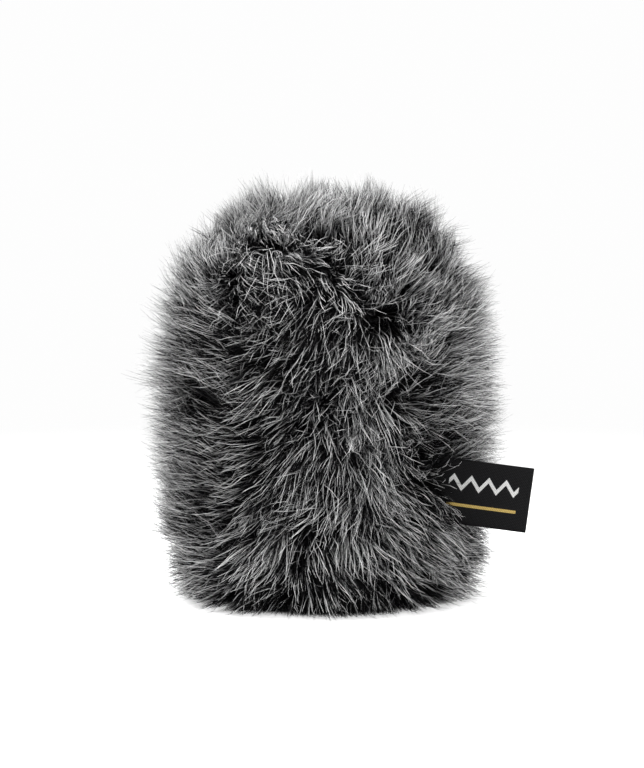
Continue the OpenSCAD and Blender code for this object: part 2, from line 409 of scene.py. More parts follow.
def fibre_material():
    """Acrylic fibre, dark at the root and lighter at the tip, with some fibres much lighter. The dark root
    end is partly the fibre's own tone and partly painted shade deep in the pile; the glints along it are
    painted highlights.
    """
    material, tree, shader = new_material("pile_fibre", roughness=0.45, Specular_IOR_Level=0.04)
    mix_place, length_place, _ = tree.parts(tree.add("ShaderNodeUVMap", uv_map=BAKE_MAP))
    tone = tree.ramp(mix_place, FIBRE_TONES)
    # Painted shade: the root end is darkened as if deep in the pile, over the fibre's own lighter tip
    shade = tree.ramp(length_place, FIBRE_SHADES)
    # Painted glints: noise bands along each fibre stand in for its highlights
    across = tree.product(mix_place, GLINTS_ACROSS_COAT)
    along = tree.product(length_place, GLINTS_ALONG_FIBRE)
    glint = tree.ramp(noise(tree, tree.joined(across, along, 0.0), scale=1.0), FIBRE_GLINT_BANDS)
    colour = tree.blended(1.0, tone, shade, "MULTIPLY")
    coloured(tree, shader, tree.blended(1.0, colour, glint, "MULTIPLY"))
    return material


def knit_material():
    """Dark knitted backing with fine loops."""
    material, tree, shader = new_material("knitted_backing", roughness=0.9, Sheen_Weight=0.15)
    loops = noise(tree, object_places(tree), scale=900.0, detail=3.0)
    # Painted shade: the hollows between the loops are the darker places
    coloured(tree, shader, tree.ramp(loops, KNIT_TONES))
    bumped(tree, shader, loops, strength=0.5, depth=0.3 * MM)
    return material


def ring_weave(tree, places, across, along, radius):
    """A plain weave that follows a ring: threads round it and threads across it, at their pitches."""
    x, y, z = tree.parts(places)
    turn = tree.product(tree.math("ARCTAN2", y, x), radius)
    depth = tree.total(tree.length(tree.joined(x, y, 0.0)), z)
    over = tree.math("SINE", tree.product(turn, 2 * math.pi / along))
    under = tree.math("SINE", tree.product(depth, 2 * math.pi / across))
    return tree.math("MULTIPLY_ADD", tree.product(over, under), 0.5, 0.5)


def woven_cloth_material(name, tones, pitch, radius):
    """Woven cloth or tape laid round the mouth, with a little fuzz on its weave."""
    material, tree, shader = new_material(name, roughness=0.8, Sheen_Weight=0.2)
    places = object_places(tree)
    weave = ring_weave(tree, places, pitch, pitch, radius)
    fuzz = noise(tree, places, scale=500.0, detail=3.0)
    height = tree.math("MULTIPLY_ADD", fuzz, FUZZ_SHARE, tree.product(weave, WEAVE_SHARE))
    # Painted shade: the hollows of the weave are the darker places
    coloured(tree, shader, tree.ramp(height, tones))
    bumped(tree, shader, height, strength=0.6, depth=0.15 * MM)
    return material


def rubber_material():
    """Matt moulded rubber with the fine grain of its mould, a little blotched."""
    material, tree, shader = new_material("moulded_rubber", roughness=0.55, Specular_IOR_Level=0.4)
    places = object_places(tree)
    grain = noise(tree, places, scale=2200.0)
    cloud = noise(tree, places, scale=90.0)
    coloured(tree, shader, tree.ramp(cloud, RUBBER_TONES))
    bumped(tree, shader, grain, strength=0.35, depth=0.05 * MM)
    return material


def foam_material():
    """Open-cell foam: lighter cell walls round darker cells, whose dark is painted shade in the open cells.
    """
    material, tree, shader = new_material("open_cell_foam", roughness=0.95)
    cells = tree.add("ShaderNodeTexVoronoi", {"Vector": object_places(tree), "Scale": 1100.0})
    # Painted shade: the cells, hollows in the relief, are darker than their walls
    coloured(tree, shader, tree.ramp(cells, FOAM_TONES))
    bumped(tree, shader, cells, strength=0.8, depth=0.4 * MM)
    return material


def thread_material():
    """Twisted dark sewing thread."""
    material, tree, shader = new_material("sewing_thread", roughness=0.55, Sheen_Weight=0.2)
    twist = tree.wave(tree.total(*tree.parts(object_places(tree))), THREAD_TWIST)
    # Painted shade: the grooves of the twist are the darker places
    coloured(tree, shader, tree.ramp(twist, THREAD_TONES))
    bumped(tree, shader, twist, strength=0.5, depth=0.1 * MM)
    return material


def elastic_material():
    """Braided elastic with ribs along the ring."""
    material, tree, shader = new_material("braided_elastic", roughness=0.7)
    braid = ring_weave(tree, object_places(tree), BRAID_ACROSS, BRAID_ALONG, elastic_high.x)
    # Painted shade: the hollows of the braid are the darker places
    coloured(tree, shader, tree.ramp(braid, ELASTIC_TONES))
    bumped(tree, shader, braid, strength=0.5, depth=0.1 * MM)
    return material


# The label's woven design, measured from its fold and from its lower edge
RIBBON_MAP = "ribbon"
ZIGZAG_MIDDLE = 11.0 * MM
ZIGZAG_REACH = 8.0 * MM
ZIGZAG_PITCH = 4.0 * MM
ZIGZAG_LOW = 7.6 * MM
ZIGZAG_RISE = 2.6 * MM
ZIGZAG_THICKNESS = 1.3 * MM
STRIPE_HEIGHT = 4.4 * MM
STRIPE_THICKNESS = 0.7 * MM


def label_material(ribbon_length):
    """Black satin ribbon with a plain white zigzag and a thin gold stripe woven in."""
    material, tree, shader = new_material("woven_label", roughness=0.7, Specular_IOR_Level=0.06)
    u, v, _ = tree.parts(tree.add("ShaderNodeUVMap", uv_map=RIBBON_MAP))
    plain = tree.product(tree.wave(u, WARP_PITCH), tree.wave(v, WEFT_PITCH))
    twill = tree.wave(tree.total(u, v), TWILL_PITCH)
    height = tree.math("MULTIPLY_ADD", twill, TWILL_SHARE, tree.product(plain, 1 - TWILL_SHARE))
    from_fold = tree.math("ABSOLUTE", tree.math("SUBTRACT", u, ribbon_length / 2))
    inside = tree.math("COMPARE", from_fold, ZIGZAG_MIDDLE, ZIGZAG_REACH)
    half_pitch = ZIGZAG_PITCH / 2
    climb = tree.math("PINGPONG", from_fold, half_pitch)
    middle = tree.math("MULTIPLY_ADD", climb, ZIGZAG_RISE / half_pitch, ZIGZAG_LOW + ZIGZAG_THICKNESS / 2)
    zigzag = tree.product(tree.math("COMPARE", v, middle, ZIGZAG_THICKNESS / 2), inside)
    stripe = tree.product(tree.math("COMPARE", v, STRIPE_HEIGHT, STRIPE_THICKNESS / 2), inside)
    # Painted shade: the hollows of the weave are darker in the ground, the zigzag and the stripe alike
    colour = tree.blended(zigzag, tree.ramp(height, GROUND_TONES), tree.ramp(height, WHITE_TONES))
    coloured(tree, shader, tree.blended(stripe, colour, tree.ramp(height, GOLD_TONES)))
    bumped(tree, shader, height, strength=0.6, depth=0.1 * MM)
    return material


# ---------------------------------------------------------------- mesh makers


def mesh_object(name, points, faces, material=None, edges=(), smooth=True):
    """An object with a mesh of these points and faces, or of points and edges."""
    mesh = bpy.data.meshes.new(name)
    mesh.from_pydata([tuple(p) for p in points], list(edges), [tuple(int(i) for i in f) for f in faces])
    mesh.polygons.foreach_set("use_smooth", [smooth] * len(mesh.polygons))
    if material:
        mesh.materials.append(material)
    mesh.update()
    return put_in_scene(name, mesh)


def grid_faces(rows, columns, close_rows=False, close_columns=False):
    """Quads over points laid out row by row."""
    faces = []
    for i in range(rows if close_rows else rows - 1):
        for j in range(columns if close_columns else columns - 1):
            i1, j1 = (i + 1) % rows, (j + 1) % columns
            faces.append((i * columns + j, i * columns + j1, i1 * columns + j1, i1 * columns + j))
    return faces


def turned(name, profile, material, columns, ripple=None):
    """A solid turned about Z from a closed profile of (radius, height) points."""
    azimuths = all_round(columns)
    rows = []
    for number, (radius, height) in enumerate(profile):
        swell = ripple(azimuths, number) if ripple else 0
        rows.append(around(azimuths, radius + swell, height))
    faces = grid_faces(len(rows), columns, close_rows=True, close_columns=True)
    return mesh_object(name, np.concatenate(rows), faces, material)


def sheet_edges(rows, columns, round_ring):
    """The numbers of the points along each free edge of a sheet, in order."""
    first = list(range(columns))
    last = [(rows - 1) * columns + j for j in reversed(range(columns))]
    if round_ring:
        return [first, last]
    up = [i * columns + columns - 1 for i in range(1, rows)]
    down = [i * columns for i in reversed(range(1, rows - 1))]
    return [first + up + last[1:] + down]


def cloth_sheet(name, grid, thickness, material, round_ring=False):
    """A sheet of cloth with a real thickness, from a grid of points on its middle surface."""
    rows, columns = grid.shape[:2]
    along = np.gradient(grid, axis=1)
    if round_ring:
        along = (np.roll(grid, -1, axis=1) - np.roll(grid, 1, axis=1)) / 2
    normal = np.cross(along, np.gradient(grid, axis=0))
    normal /= np.linalg.norm(normal, axis=2, keepdims=True)
    front = (grid + normal * thickness / 2).reshape(-1, 3)
    back = (grid - normal * thickness / 2).reshape(-1, 3)
    faces = grid_faces(rows, columns, close_columns=round_ring)
    other = [tuple(i + len(front) for i in reversed(face)) for face in faces]
    rim = []
    for edge in sheet_edges(rows, columns, round_ring):
        for a, b in zip(edge, edge[1:] + edge[:1]):
            rim.append((b, a, a + len(front), b + len(front)))
    return mesh_object(name, np.concatenate([front, back]), faces + other + rim, material)


def declared(piece, slot, *nodes):
    """Lets a piece ride on the cover and hides the CAD nodes that it stands for. Its slot is not used."""
    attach(piece, "windscreen")
    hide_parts(*nodes)
    return piece


# ---------------------------------------------------------------- the groom

# Strokes of the brush on the side panels: azimuth, height in mm, then how far the tips are brushed
# sideways (towards a larger azimuth), upwards, and how far they stand off the cloth
BRUSH_STROKES = [
    # The shoulder, from the left side over the front to the right side
    (-88, 79, 0.1, 1.2, 0.2), (-68, 79, 0.0, 1.1, 0.3), (-70, 71, -0.1, 1.1, 0.3),
    (-50, 81, 1.2, -0.7, 0.0), (-40, 77, 1.4, -0.9, 0.0), (-30, 81, 1.1, -1.0, 0.0),
    (-34, 71, 1.3, -1.0, 0.0), (-24, 74, 1.0, -1.0, 0.0), (-24, 67, 1.1, -0.9, 0.0),
    (-17, 80, 0.5, -1.0, 0.0), (-10, 81, 0.2, -1.0, 0.1), (-3, 80, 0.0, -1.0, 0.1),
    (3, 80, -0.1, -1.0, 0.1), (11, 81, 0.1, 1.0, 0.1), (12, 75, 0.1, 1.0, 0.0), (20, 70, 0.25, 1.0, 0.0),
    (30, 80, 0.2, 1.0, 0.1), (38, 72, 0.1, 1.0, 0.1), (54, 78, -0.1, 1.2, 0.1), (80, 78, 0.0, 1.3, 0.2),
    # The dark hollow under the shoulder and the lock that hangs from it
    (-12, 74, 0.2, -1.0, 0.1), (-3, 74, 0.0, -1.0, 0.1), (4, 73, -0.1, -1.0, 0.1),
    (-12, 67, 0.1, -0.9, 0.2), (-4, 67, 0.0, -1.0, 0.1), (4, 67, -0.1, -1.0, 0.1),
    (-12, 60, -0.4, -0.7, 0.4), (-2, 60, -0.4, -0.8, 0.3), (12, 67, -0.2, -1.0, 0.0),
    (20, 63, -0.4, -1.0, 0.0), (28, 61, -0.8, -1.0, 0.0), (13, 58, -0.2, -1.0, 0.0),
    (21, 56, -0.5, -1.0, 0.0), (29, 55, -0.9, -1.0, 0.0), (14, 50, -0.2, -1.0, 0.0),
    (22, 48, -0.5, -1.0, 0.0), (29, 48, -0.8, -1.0, 0.0), (15, 42, -0.1, -1.0, 0.0),
    (23, 40, -0.3, -1.0, 0.1), (28, 41, -0.4, -1.0, 0.0),
    # The right of the front, brushed away from the lock
    (28, 71, 0.2, 1.0, 0.1), (27, 66, 0.9, 0.1, 0.4), (35, 66, 0.1, 1.0, 0.1), (35, 60, 0.1, 1.1, 0.1),
    (35, 54, 0.1, 1.1, 0.1), (36, 47, 0.4, 0.7, 0.1), (37, 38, 0.0, 1.1, 0.1), (46, 63, 0.2, 0.7, 0.2),
    (41, 57, 0.1, 1.1, 0.1), (52, 53, 0.6, -0.2, 0.2), (46, 45, 0.2, 0.7, 0.2), (48, 37, 0.0, 1.1, 0.1),
    (62, 66, 0.0, 1.1, 0.3), (62, 56, 0.2, 0.4, 0.4), (62, 48, 0.4, -0.1, 0.4), (64, 39, 0.0, 1.0, 0.3),
    (85, 68, 0.0, 1.2, 0.3), (85, 56, 0.1, 0.8, 0.5), (85, 48, 0.2, 0.1, 0.7), (85, 38, 0.0, 1.0, 0.4),
    # The middle, with curly tips that point forwards, and the left of the front
    (-3, 53, -0.3, -0.3, 1.1), (4, 46, 0.0, -0.9, 0.5), (-13, 53, -0.6, -0.6, 0.5),
    (-12, 46, -0.3, -0.6, 0.7), (-23, 61, -0.9, 0.0, 0.3), (-24, 54, -0.7, -0.5, 0.3),
    (-36, 63, -0.8, 0.15, 0.2), (-38, 56, -0.5, 0.7, 0.2), (-38, 47, -0.1, 1.0, 0.1),
    (-24, 47, -0.6, -0.3, 0.3), (-36, 41, -0.8, 0.2, 0.3), (-50, 66, -0.4, 0.7, 0.3),
    (-54, 57, -0.3, 0.6, 0.4), (-54, 47, -0.2, 0.8, 0.3), (-54, 38, -0.2, 0.8, 0.4),
    (-82, 68, 0.1, 1.1, 0.3), (-82, 58, 0.0, 0.8, 0.5), (-82, 48, 0.0, 0.4, 0.6),
    (-82, 38, 0.0, 0.8, 0.5), (-20, 39, -0.7, -0.5, 0.3), (-8, 39, -0.5, -0.8, 0.3),
    (5, 38, -0.1, -0.9, 0.3), (-24, 32, -0.6, -0.6, 0.2), (-42, 34, -0.6, 0.5, 0.3),
    (-8, 31, -0.6, -0.7, 0.3), (10, 31, -0.1, -1.0, 0.2), (24, 32, 0.0, -1.0, 0.1),
    (38, 28, 0.2, -0.9, 0.2), (-62, 30, -0.2, 0.9, 0.4), (-84, 30, 0.0, 0.8, 0.5),
    # The lower front and the foot
    (-46, 24, -0.5, 0.6, 0.3), (-28, 24, -0.5, -0.6, 0.2), (-14, 21, -0.5, -0.8, 0.3),
    (6, 20, 0.0, -0.9, 0.4), (24, 20, 0.1, -0.9, 0.3), (42, 18, 0.3, -0.8, 0.3),
    (-64, 20, -0.2, 0.7, 0.5), (-86, 20, 0.0, 0.5, 0.6), (-48, 9, -0.5, -0.2, 0.4),
    (-30, 10, -0.4, -0.8, 0.2), (-10, 9, 0.1, -0.9, 0.4), (8, 9, 0.2, -0.9, 0.4),
    (24, 9, 0.3, -0.9, 0.3), (50, 9, 0.4, -0.6, 0.4),
    # The right side and the back
    (78, 28, 0.5, -0.2, 0.7), (80, 12, 0.4, -0.6, 0.6), (110, 70, -0.4, -0.6, 0.5),
    (150, 66, 0.5, -0.6, 0.5), (190, 72, -0.5, -0.6, 0.5), (235, 68, 0.5, -0.5, 0.5),
    (105, 45, 0.3, -0.9, 0.4), (140, 42, -0.5, -0.7, 0.5), (178, 46, 0.3, -0.8, 0.3),
    (215, 40, 0.7, -0.5, 0.5), (250, 48, -0.4, -0.7, 0.5), (108, 20, 0.4, -0.6, 0.6),
    (135, 15, -0.4, -0.7, 0.5), (175, 20, 0.1, -0.9, 0.4), (212, 14, 0.5, -0.6, 0.5),
    (250, 20, -0.5, -0.6, 0.6),
]

# Locks that stand out of the side panels and hollows between them: azimuth, height in mm, how much
# longer the pile is in mm, and how much lighter its mix of fibres is made, which is painted light where it
# is positive and painted shade where it is negative
PANEL_LOCKS = [
    (-24, 80, 0.0, 0.1), (-8, 81, -4.0, 0.03), (3, 81, -4.0, 0.03), (17, 74, 3.0, 0.0),
    (2, 68, 0.0, -0.12), (0, 54, -2.5, -0.1), (2, 61, 0.0, -0.12), (33, 62, 0.0, 0.12),
    (30, 70, 0.0, 0.08), (-24, 74, 0.0, -0.08), (50, 62, 0.0, 0.1), (50, 52, 0.0, 0.1),
    (34, 55, -3.0, 0.0), (33, 48, -3.5, -0.1), (48, 33, -4.5, -0.2), (58, 33, -3.0, -0.1),
    (72, 77, -3.0, 0.0), (-68, 79, -3.0, 0.1), (-50, 74, 0.0, 0.1), (-78, 66, 0.0, 0.16),
    (-78, 53, 0.0, 0.18), (-78, 39, 0.0, 0.2), (-78, 25, 0.0, 0.14), (104, 60, 0.0, 0.14),
    (106, 36, 0.0, 0.14), (104, 14, 0.0, 0.1), (-106, 60, 0.0, 0.1), (-106, 36, 0.0, 0.1),
    (78, 63, 0.0, 0.16), (78, 50, 0.0, 0.18), (78, 37, 0.0, 0.16), (-9, 34, 0.0, -0.14),
    (-10, 27, 0.0, -0.12), (6, 15, 0.0, -0.15), (-34, 14, 0.0, -0.1), (18, 12, 0.0, -0.08),
    (16, 62, 1.5, 0.0), (18, 54, 2.0, 0.04), (19, 46, 2.0, 0.04), (12, 36, 1.0, 0.0), (8, 27, 1.0, 0.04),
    (14, 19, 0.5, 0.04), (-34, 77, 2.0, -0.1), (-14, 70, 0.0, -0.1), (-32, 67, 0.0, -0.1),
    (-62, 50, 1.5, -0.05), (-58, 26, 1.5, 0.0), (-46, 66, -2.5, -0.1), (-60, 60, 0.0, -0.1),
    (-40, 57, 0.0, -0.12), (-22, 52, 0.0, -0.08), (-58, 42, 0.0, -0.12), (-38, 46, 0.0, -0.14),
    (-18, 44, -1.0, -0.08), (-40, 36, -2.5, -0.1), (-22, 26, -2.0, -0.05), (-44, 20, 0.0, -0.08),
    (-30, 6, 0.0, -0.14), (-8, 4, -1.8, -0.15), (12, 4, -1.8, -0.15), (32, 5, -2.0, -0.12),
    (52, 5, 0.0, -0.1), (-52, 6, 0.0, 0.04), (-82, 7, -3.5, 0.0), (-68, 4, -2.0, 0.0),
    (-70, 81, -4.0, 0.1), (-86, 79, -3.0, 0.0), (56, 80, 0.0, -0.12), (38, 80, 0.0, -0.14),
    (26, 62, 0.0, -0.06), (-52, 82, -1.5, 0.08),
]

# Strokes on the crown: x and y in mm, then how far the tips are brushed along x and y, and upwards
CROWN_STROKES = [
    (-5, -16, 0.0, 0.2, 1.0), (4, -16, 0.1, 0.2, 1.0), (-12, -12, 0.6, -1.2, 0.1),
    (-16, -6, 0.3, -0.9, 0.5), (14, -10, 0.35, 0.0, 1.1), (0, -6, 0.1, 0.5, 0.8),
    (-16, 2, -0.7, 0.1, 0.9), (17, 3, 0.7, 0.2, 0.9), (-6, 8, -0.4, 0.6, 0.8), (7, 9, 0.4, 0.6, 0.8),
    (0, 17, 0.0, 0.8, 0.8),
]

# Locks on the crown: x and y in mm, how much longer the pile is in mm, and how much lighter its mix of
# fibres is made: painted light where positive, painted shade where negative
CROWN_LOCKS = [
    (-12, -4, 3.5, 0.12), (-14, -12, 0.0, 0.08), (-6, -12, 0.0, 0.09), (17, -4, 3.0, -0.28),
    (12, -13, 0.0, -0.2), (3, -5, -2.5, 0.0), (0, 7, -2.5, 0.0), (-6, 14, -1.0, 0.1),
]

# The side panels' tables are repeated at these turns, so that they meet all round
TURNS = (-360, 0, 360, 720)

# How far a stroke leads the pile, and how weakly and from how near it does so beyond all others
STROKE_REACH = 2.8 * MM
CROWN_REACH = 6 * MM
FAR_LEAD = 1e-7
FAR_START = 0.1

# How far a lock's length and its painted light and shade spread, and the crown's own lighter mix of fibres,
# painted light from the top lamp
LOCK_REACH = 5 * MM
PAINTED_LIGHT_REACH = 7 * MM
CROWN_PAINTED_LIGHT = 0.18

# How the tips hang and stand off, how far the pile leans with them at its root, and how far the crown's
# pile spreads outwards
DROOP = 0.15
STAND_OFF = 0.42
ROOT_LEAN = 0.25
CROWN_ROOT_LEAN = 0.2
CROWN_SPREAD = 0.35

# Ruffles in the pile, coarse and fine: how strong, over what size, and their seed
RUFFLES = ((0.22, 20 * MM, 5), (0.22, 9 * MM, 6))
RUFFLE_WAVES = 24
RUFFLE_SPREAD = (0.6, 1.5)

# The outline that the tips reach: widest at the belly, drawn in at the foot and closed over the crown
PILE_RADIUS = 42 * MM
PILE_BELLY = 46 * MM
PILE_FOOT = 38 * MM
PILE_POWER = 2.8
PILE_OVER = 2 * MM
SHORTEST_PILE = 9 * MM
LONGEST_PILE = 18 * MM
PILE_STEP = 0.25 * MM

# The backings' sizes. The crown's cloth is cut a little wider than the seam round it
PANEL_ANGLE = 120.0
PANEL_ROWS = 60
PANEL_COLUMNS = 80
TURN_UNDER = 2.5 * MM
CROWN_RINGS = 18
CROWN_COLUMNS = 96


def stroked(places, strokes, reach):
    """The strokes' brushing at some places, each place led by the strokes near it."""
    centres = np.array([s[0] for s in strokes])
    brushing = np.array([s[1] for s in strokes])
    apart = np.linalg.norm(places[:, None, :] - centres[None, :, :], axis=2)
    weights = np.exp(-((apart / reach) ** 2) / 2) + FAR_LEAD / (apart / reach + FAR_START) ** 2
    return (weights @ brushing) / weights.sum(axis=1, keepdims=True)


def with_locks(places, locks, painted_light):
    """How much longer the pile is at some places, and how much lighter its mix of fibres is made as painted
    light and shade.
    """
    longer, painted_light = np.zeros(len(places)), np.full(len(places), painted_light)
    for centre, (extra, mix) in locks:
        apart = np.linalg.norm(places - centre, axis=1)
        longer += extra * MM * np.exp(-((apart / LOCK_REACH) ** 2))
        painted_light += mix * np.exp(-((apart / PAINTED_LIGHT_REACH) ** 2))
    return longer, painted_light


def unrolled(azimuth, height):
    """Places on the cover's wall, laid out flat."""
    return azimuth * math.radians(1) * cloth_radius, height


def on_wall(table):
    """A side panels' table as (place, values) rows, repeated so that it meets all round."""
    return [(unrolled(a + turn, z * MM), values) for turn in TURNS for a, z, *values in table]


def on_crown(table):
    """A crown's table as (place, values) rows."""
    return [((x * MM, y * MM), values) for x, y, *values in table]


def unit(vectors):
    """The vectors, each with a length of 1."""
    return vectors / np.linalg.norm(vectors, axis=1, keepdims=True)


def ruffle(points, size, seed):
    """A smooth random way at each point, that turns over about a certain size."""
    dice = np.random.default_rng(seed)
    ways = np.zeros_like(points)
    for _ in range(RUFFLE_WAVES):
        direction = dice.normal(size=3)
        direction *= 2 * math.pi / size * dice.uniform(*RUFFLE_SPREAD) / np.linalg.norm(direction)
        ways += np.sin(points @ direction + dice.uniform(0, 2 * math.pi))[:, None] * dice.normal(size=3)
    return ways / math.sqrt(RUFFLE_WAVES / 2)


def ruffled(points):
    """The coarse and the fine ruffle together."""
    coarse, fine = (strength * ruffle(points, size, seed) for strength, size, seed in RUFFLES)
    return coarse + fine


def pile_limit(height):
    """The radius that the pile reaches at a height."""
    low = 1 - np.clip(height / PILE_BELLY, 0, 1)
    high = np.clip((height - PILE_BELLY) / (pile_top + PILE_OVER - PILE_BELLY), 0, 1)
    below = PILE_RADIUS - (PILE_RADIUS - PILE_FOOT) * low**2
    above = PILE_RADIUS * np.sqrt(1 - high ** PILE_POWER)
    return np.where(height < PILE_BELLY, below, above)


def pile_length(points, stand, comb):
    """How long the fibres are, so that their tips end on the pile's outline."""
    ways = (unit(stand) + unit(comb)) / 2
    length = np.full(len(points), SHORTEST_PILE)
    for reach in np.arange(SHORTEST_PILE, LONGEST_PILE, PILE_STEP):
        tips = points + ways * reach
        inside = np.linalg.norm(tips[:, :2], axis=1) < pile_limit(tips[:, 2])
        length = np.where(inside, reach, length)
    return length


def groom(piece, points, stand, comb, longer, painted_light):
    """Stores the pile's root direction, tip direction, length and painted light and shade (a lighter or
    darker mix of fibres) on a backing.
    """
    for name, values in (("stand", stand), ("comb", comb)):
        attribute = piece.data.attributes.new(name, "FLOAT_VECTOR", "POINT")
        attribute.data.foreach_set("vector", np.ascontiguousarray(values, dtype=np.float32).ravel())
    for name, values in (("pile", pile_length(points, stand, comb) + longer), ("painted_light", painted_light)):
        attribute = piece.data.attributes.new(name, "FLOAT", "POINT")
        attribute.data.foreach_set("value", values.astype(np.float32))


def panel_outline():
    """A side panel's outline up to the crown's seam, and how many of its points are turned under."""
    outline = dome_outline(cloth_radius, cloth_top, base_low.z + TURN_UNDER, crown_radius, PANEL_ROWS)
    turn = np.radians(np.arange(-90, 0, 22.5))
    under = np.stack([np.cos(turn) - 1, np.sin(turn)], axis=1) * TURN_UNDER + outline[0]
    return np.concatenate([under, outline]), len(under)


def panel_comb(points, azimuth, places, rise):
    """Which way the tips are brushed on a side panel, from how its cloth rises at each point."""
    up = around(azimuth, rise[:, 0], rise[:, 1])
    outward = around(azimuth, rise[:, 1], -rise[:, 0])
    sideways = around(azimuth + 90, 1.0, 0.0)
    side, lift, stand_off = stroked(places, on_wall(BRUSH_STROKES), STROKE_REACH).T[:, :, None]
    comb = sideways * side + up * lift + outward * (stand_off + STAND_OFF)
    comb += ruffled(points)
    comb[:, 2] -= DROOP
    return comb


def panel_backing(name, first_azimuth, material):
    """The groomed backing of one side panel, from the base up to the crown's seam."""
    outline, turned_under = panel_outline()
    azimuths = np.linspace(first_azimuth, first_azimuth + PANEL_ANGLE, PANEL_COLUMNS + 1)
    rows, columns = len(outline), len(azimuths)
    azimuth = np.tile(azimuths, rows)
    radius, height = np.repeat(outline, columns, axis=0).T
    points = around(azimuth, radius, height)
    piece = mesh_object(name, points, grid_faces(rows, columns), material)

    # The pile stands square to the cloth, but the turned edge is brushed as the wall above it is
    rise = unit(np.gradient(outline, axis=0))
    normal = around(azimuth, np.repeat(rise[:, 1], columns), np.repeat(-rise[:, 0], columns))
    rise[:turned_under] = (0, 1)
    places = np.stack(unrolled(azimuth, height), axis=1)
    comb = panel_comb(points, azimuth, places, np.repeat(rise, columns, axis=0))
    longer, painted_light = with_locks(places, on_wall(PANEL_LOCKS), 0.0)
    groom(piece, points, normal + ROOT_LEAN * comb, comb, longer, painted_light)

    return piece


def crown_backing(name, material):
    """The groomed backing of the crown, a shallow dome."""
    radii = crown_radius * np.linspace(1, 0, CROWN_RINGS + 1)[:-1]
    heights = [dome_point(cloth_radius, cloth_top, math.acos(r / cloth_radius))[1] for r in radii]
    circles = [around(all_round(CROWN_COLUMNS), r, z) for r, z in zip(radii, heights)]
    points = np.concatenate(circles + [np.array([[0, 0, cloth_top]])])
    faces = grid_faces(CROWN_RINGS, CROWN_COLUMNS, close_columns=True)
    middle, last = len(points) - 1, len(points) - 1 - CROWN_COLUMNS
    faces += [(last + j, last + (j + 1) % CROWN_COLUMNS, middle) for j in range(CROWN_COLUMNS)]
    piece = mesh_object(name, points, faces, material)

    places = points[:, :2]
    comb = stroked(places, on_crown(CROWN_STROKES), CROWN_REACH) + ruffled(points)
    outward = points * [1, 1, 0] / crown_radius
    stand = np.array([0, 0, 1.0]) + CROWN_SPREAD * outward + CROWN_ROOT_LEAN * comb
    longer, painted_light = with_locks(places, on_crown(CROWN_LOCKS), CROWN_PAINTED_LIGHT)
    groom(piece, points, stand, comb, longer, painted_light)

    return piece


# ---------------------------------------------------------------- the pile

# How far out the fur starts to cover the label, at its lower and its upper edge, and the least share of
# its length that a fibre keeps there
LABEL_SHOWS_LOW = 31.5 * MM
LABEL_SHOWS_HIGH = 23.5 * MM
LEAST_KEPT = 0.3

# What is added to a seed for each thing that is drawn with it
OWN_WAY, ROLL_WAY, TONE, SHARE, HOLD, STRAY = 3, 4, 5, 6, 7, 8
TUFT_SEEDS, WISP_SEEDS = 0, 10

# Leaders of tufts and wisps: the most of them to a square metre, their share of the pile's length and
# their lean at the root
LEADER_DENSITY = 1.0e6
LEADER_SHARE = (0.85, 1.08)
LEADER_ROOT_LEAN = 0.4

# How firmly leaders hold a fibre, how that grows towards its tip, how far the fibre leans at its root,
# and how the lean of its tip goes from the many that keep to their wisp to the few that stray
HOLD_RANGE = (0.2, 1.0)
HOLD_POWER = 0.9
OWN_ROOT_LEAN = 0.2
KEPT_LEAN = 0.6
STRAY_LEAN = 5.0
STRAY_POWER = 3.0

# The noise that bends fibres: its scale, how it drifts along a fibre, how often a wisp's slow wave and a
# fibre's own crimp turn, and how loose the fibre is at its root
SWIRL_SCALE = 330.0
SWIRL_DRIFT = (0.7, 0.5, 1.1)
WAVE_TURNS = 1.3
CRIMP_TURNS = 3.2
LOOSE_ROOT = 0.4

# A fibre's ribbon: how much it tapers and rolls, the tones between which it widens, its shares of the
# width on either side of them, and how far fibres differ in how low they hang
TAPER = 0.85
ROLL = 0.4
WIDENING_TONES = (0.6, 0.74)
WIDTH_SHARES = (0.9, 1.5)
HANG_SCATTER = 0.8 * MM

# The margin that the fibres keep in their map, and a fibre's width in it
MAP_MARGIN = 0.01
MAP_WIDTH = 0.006


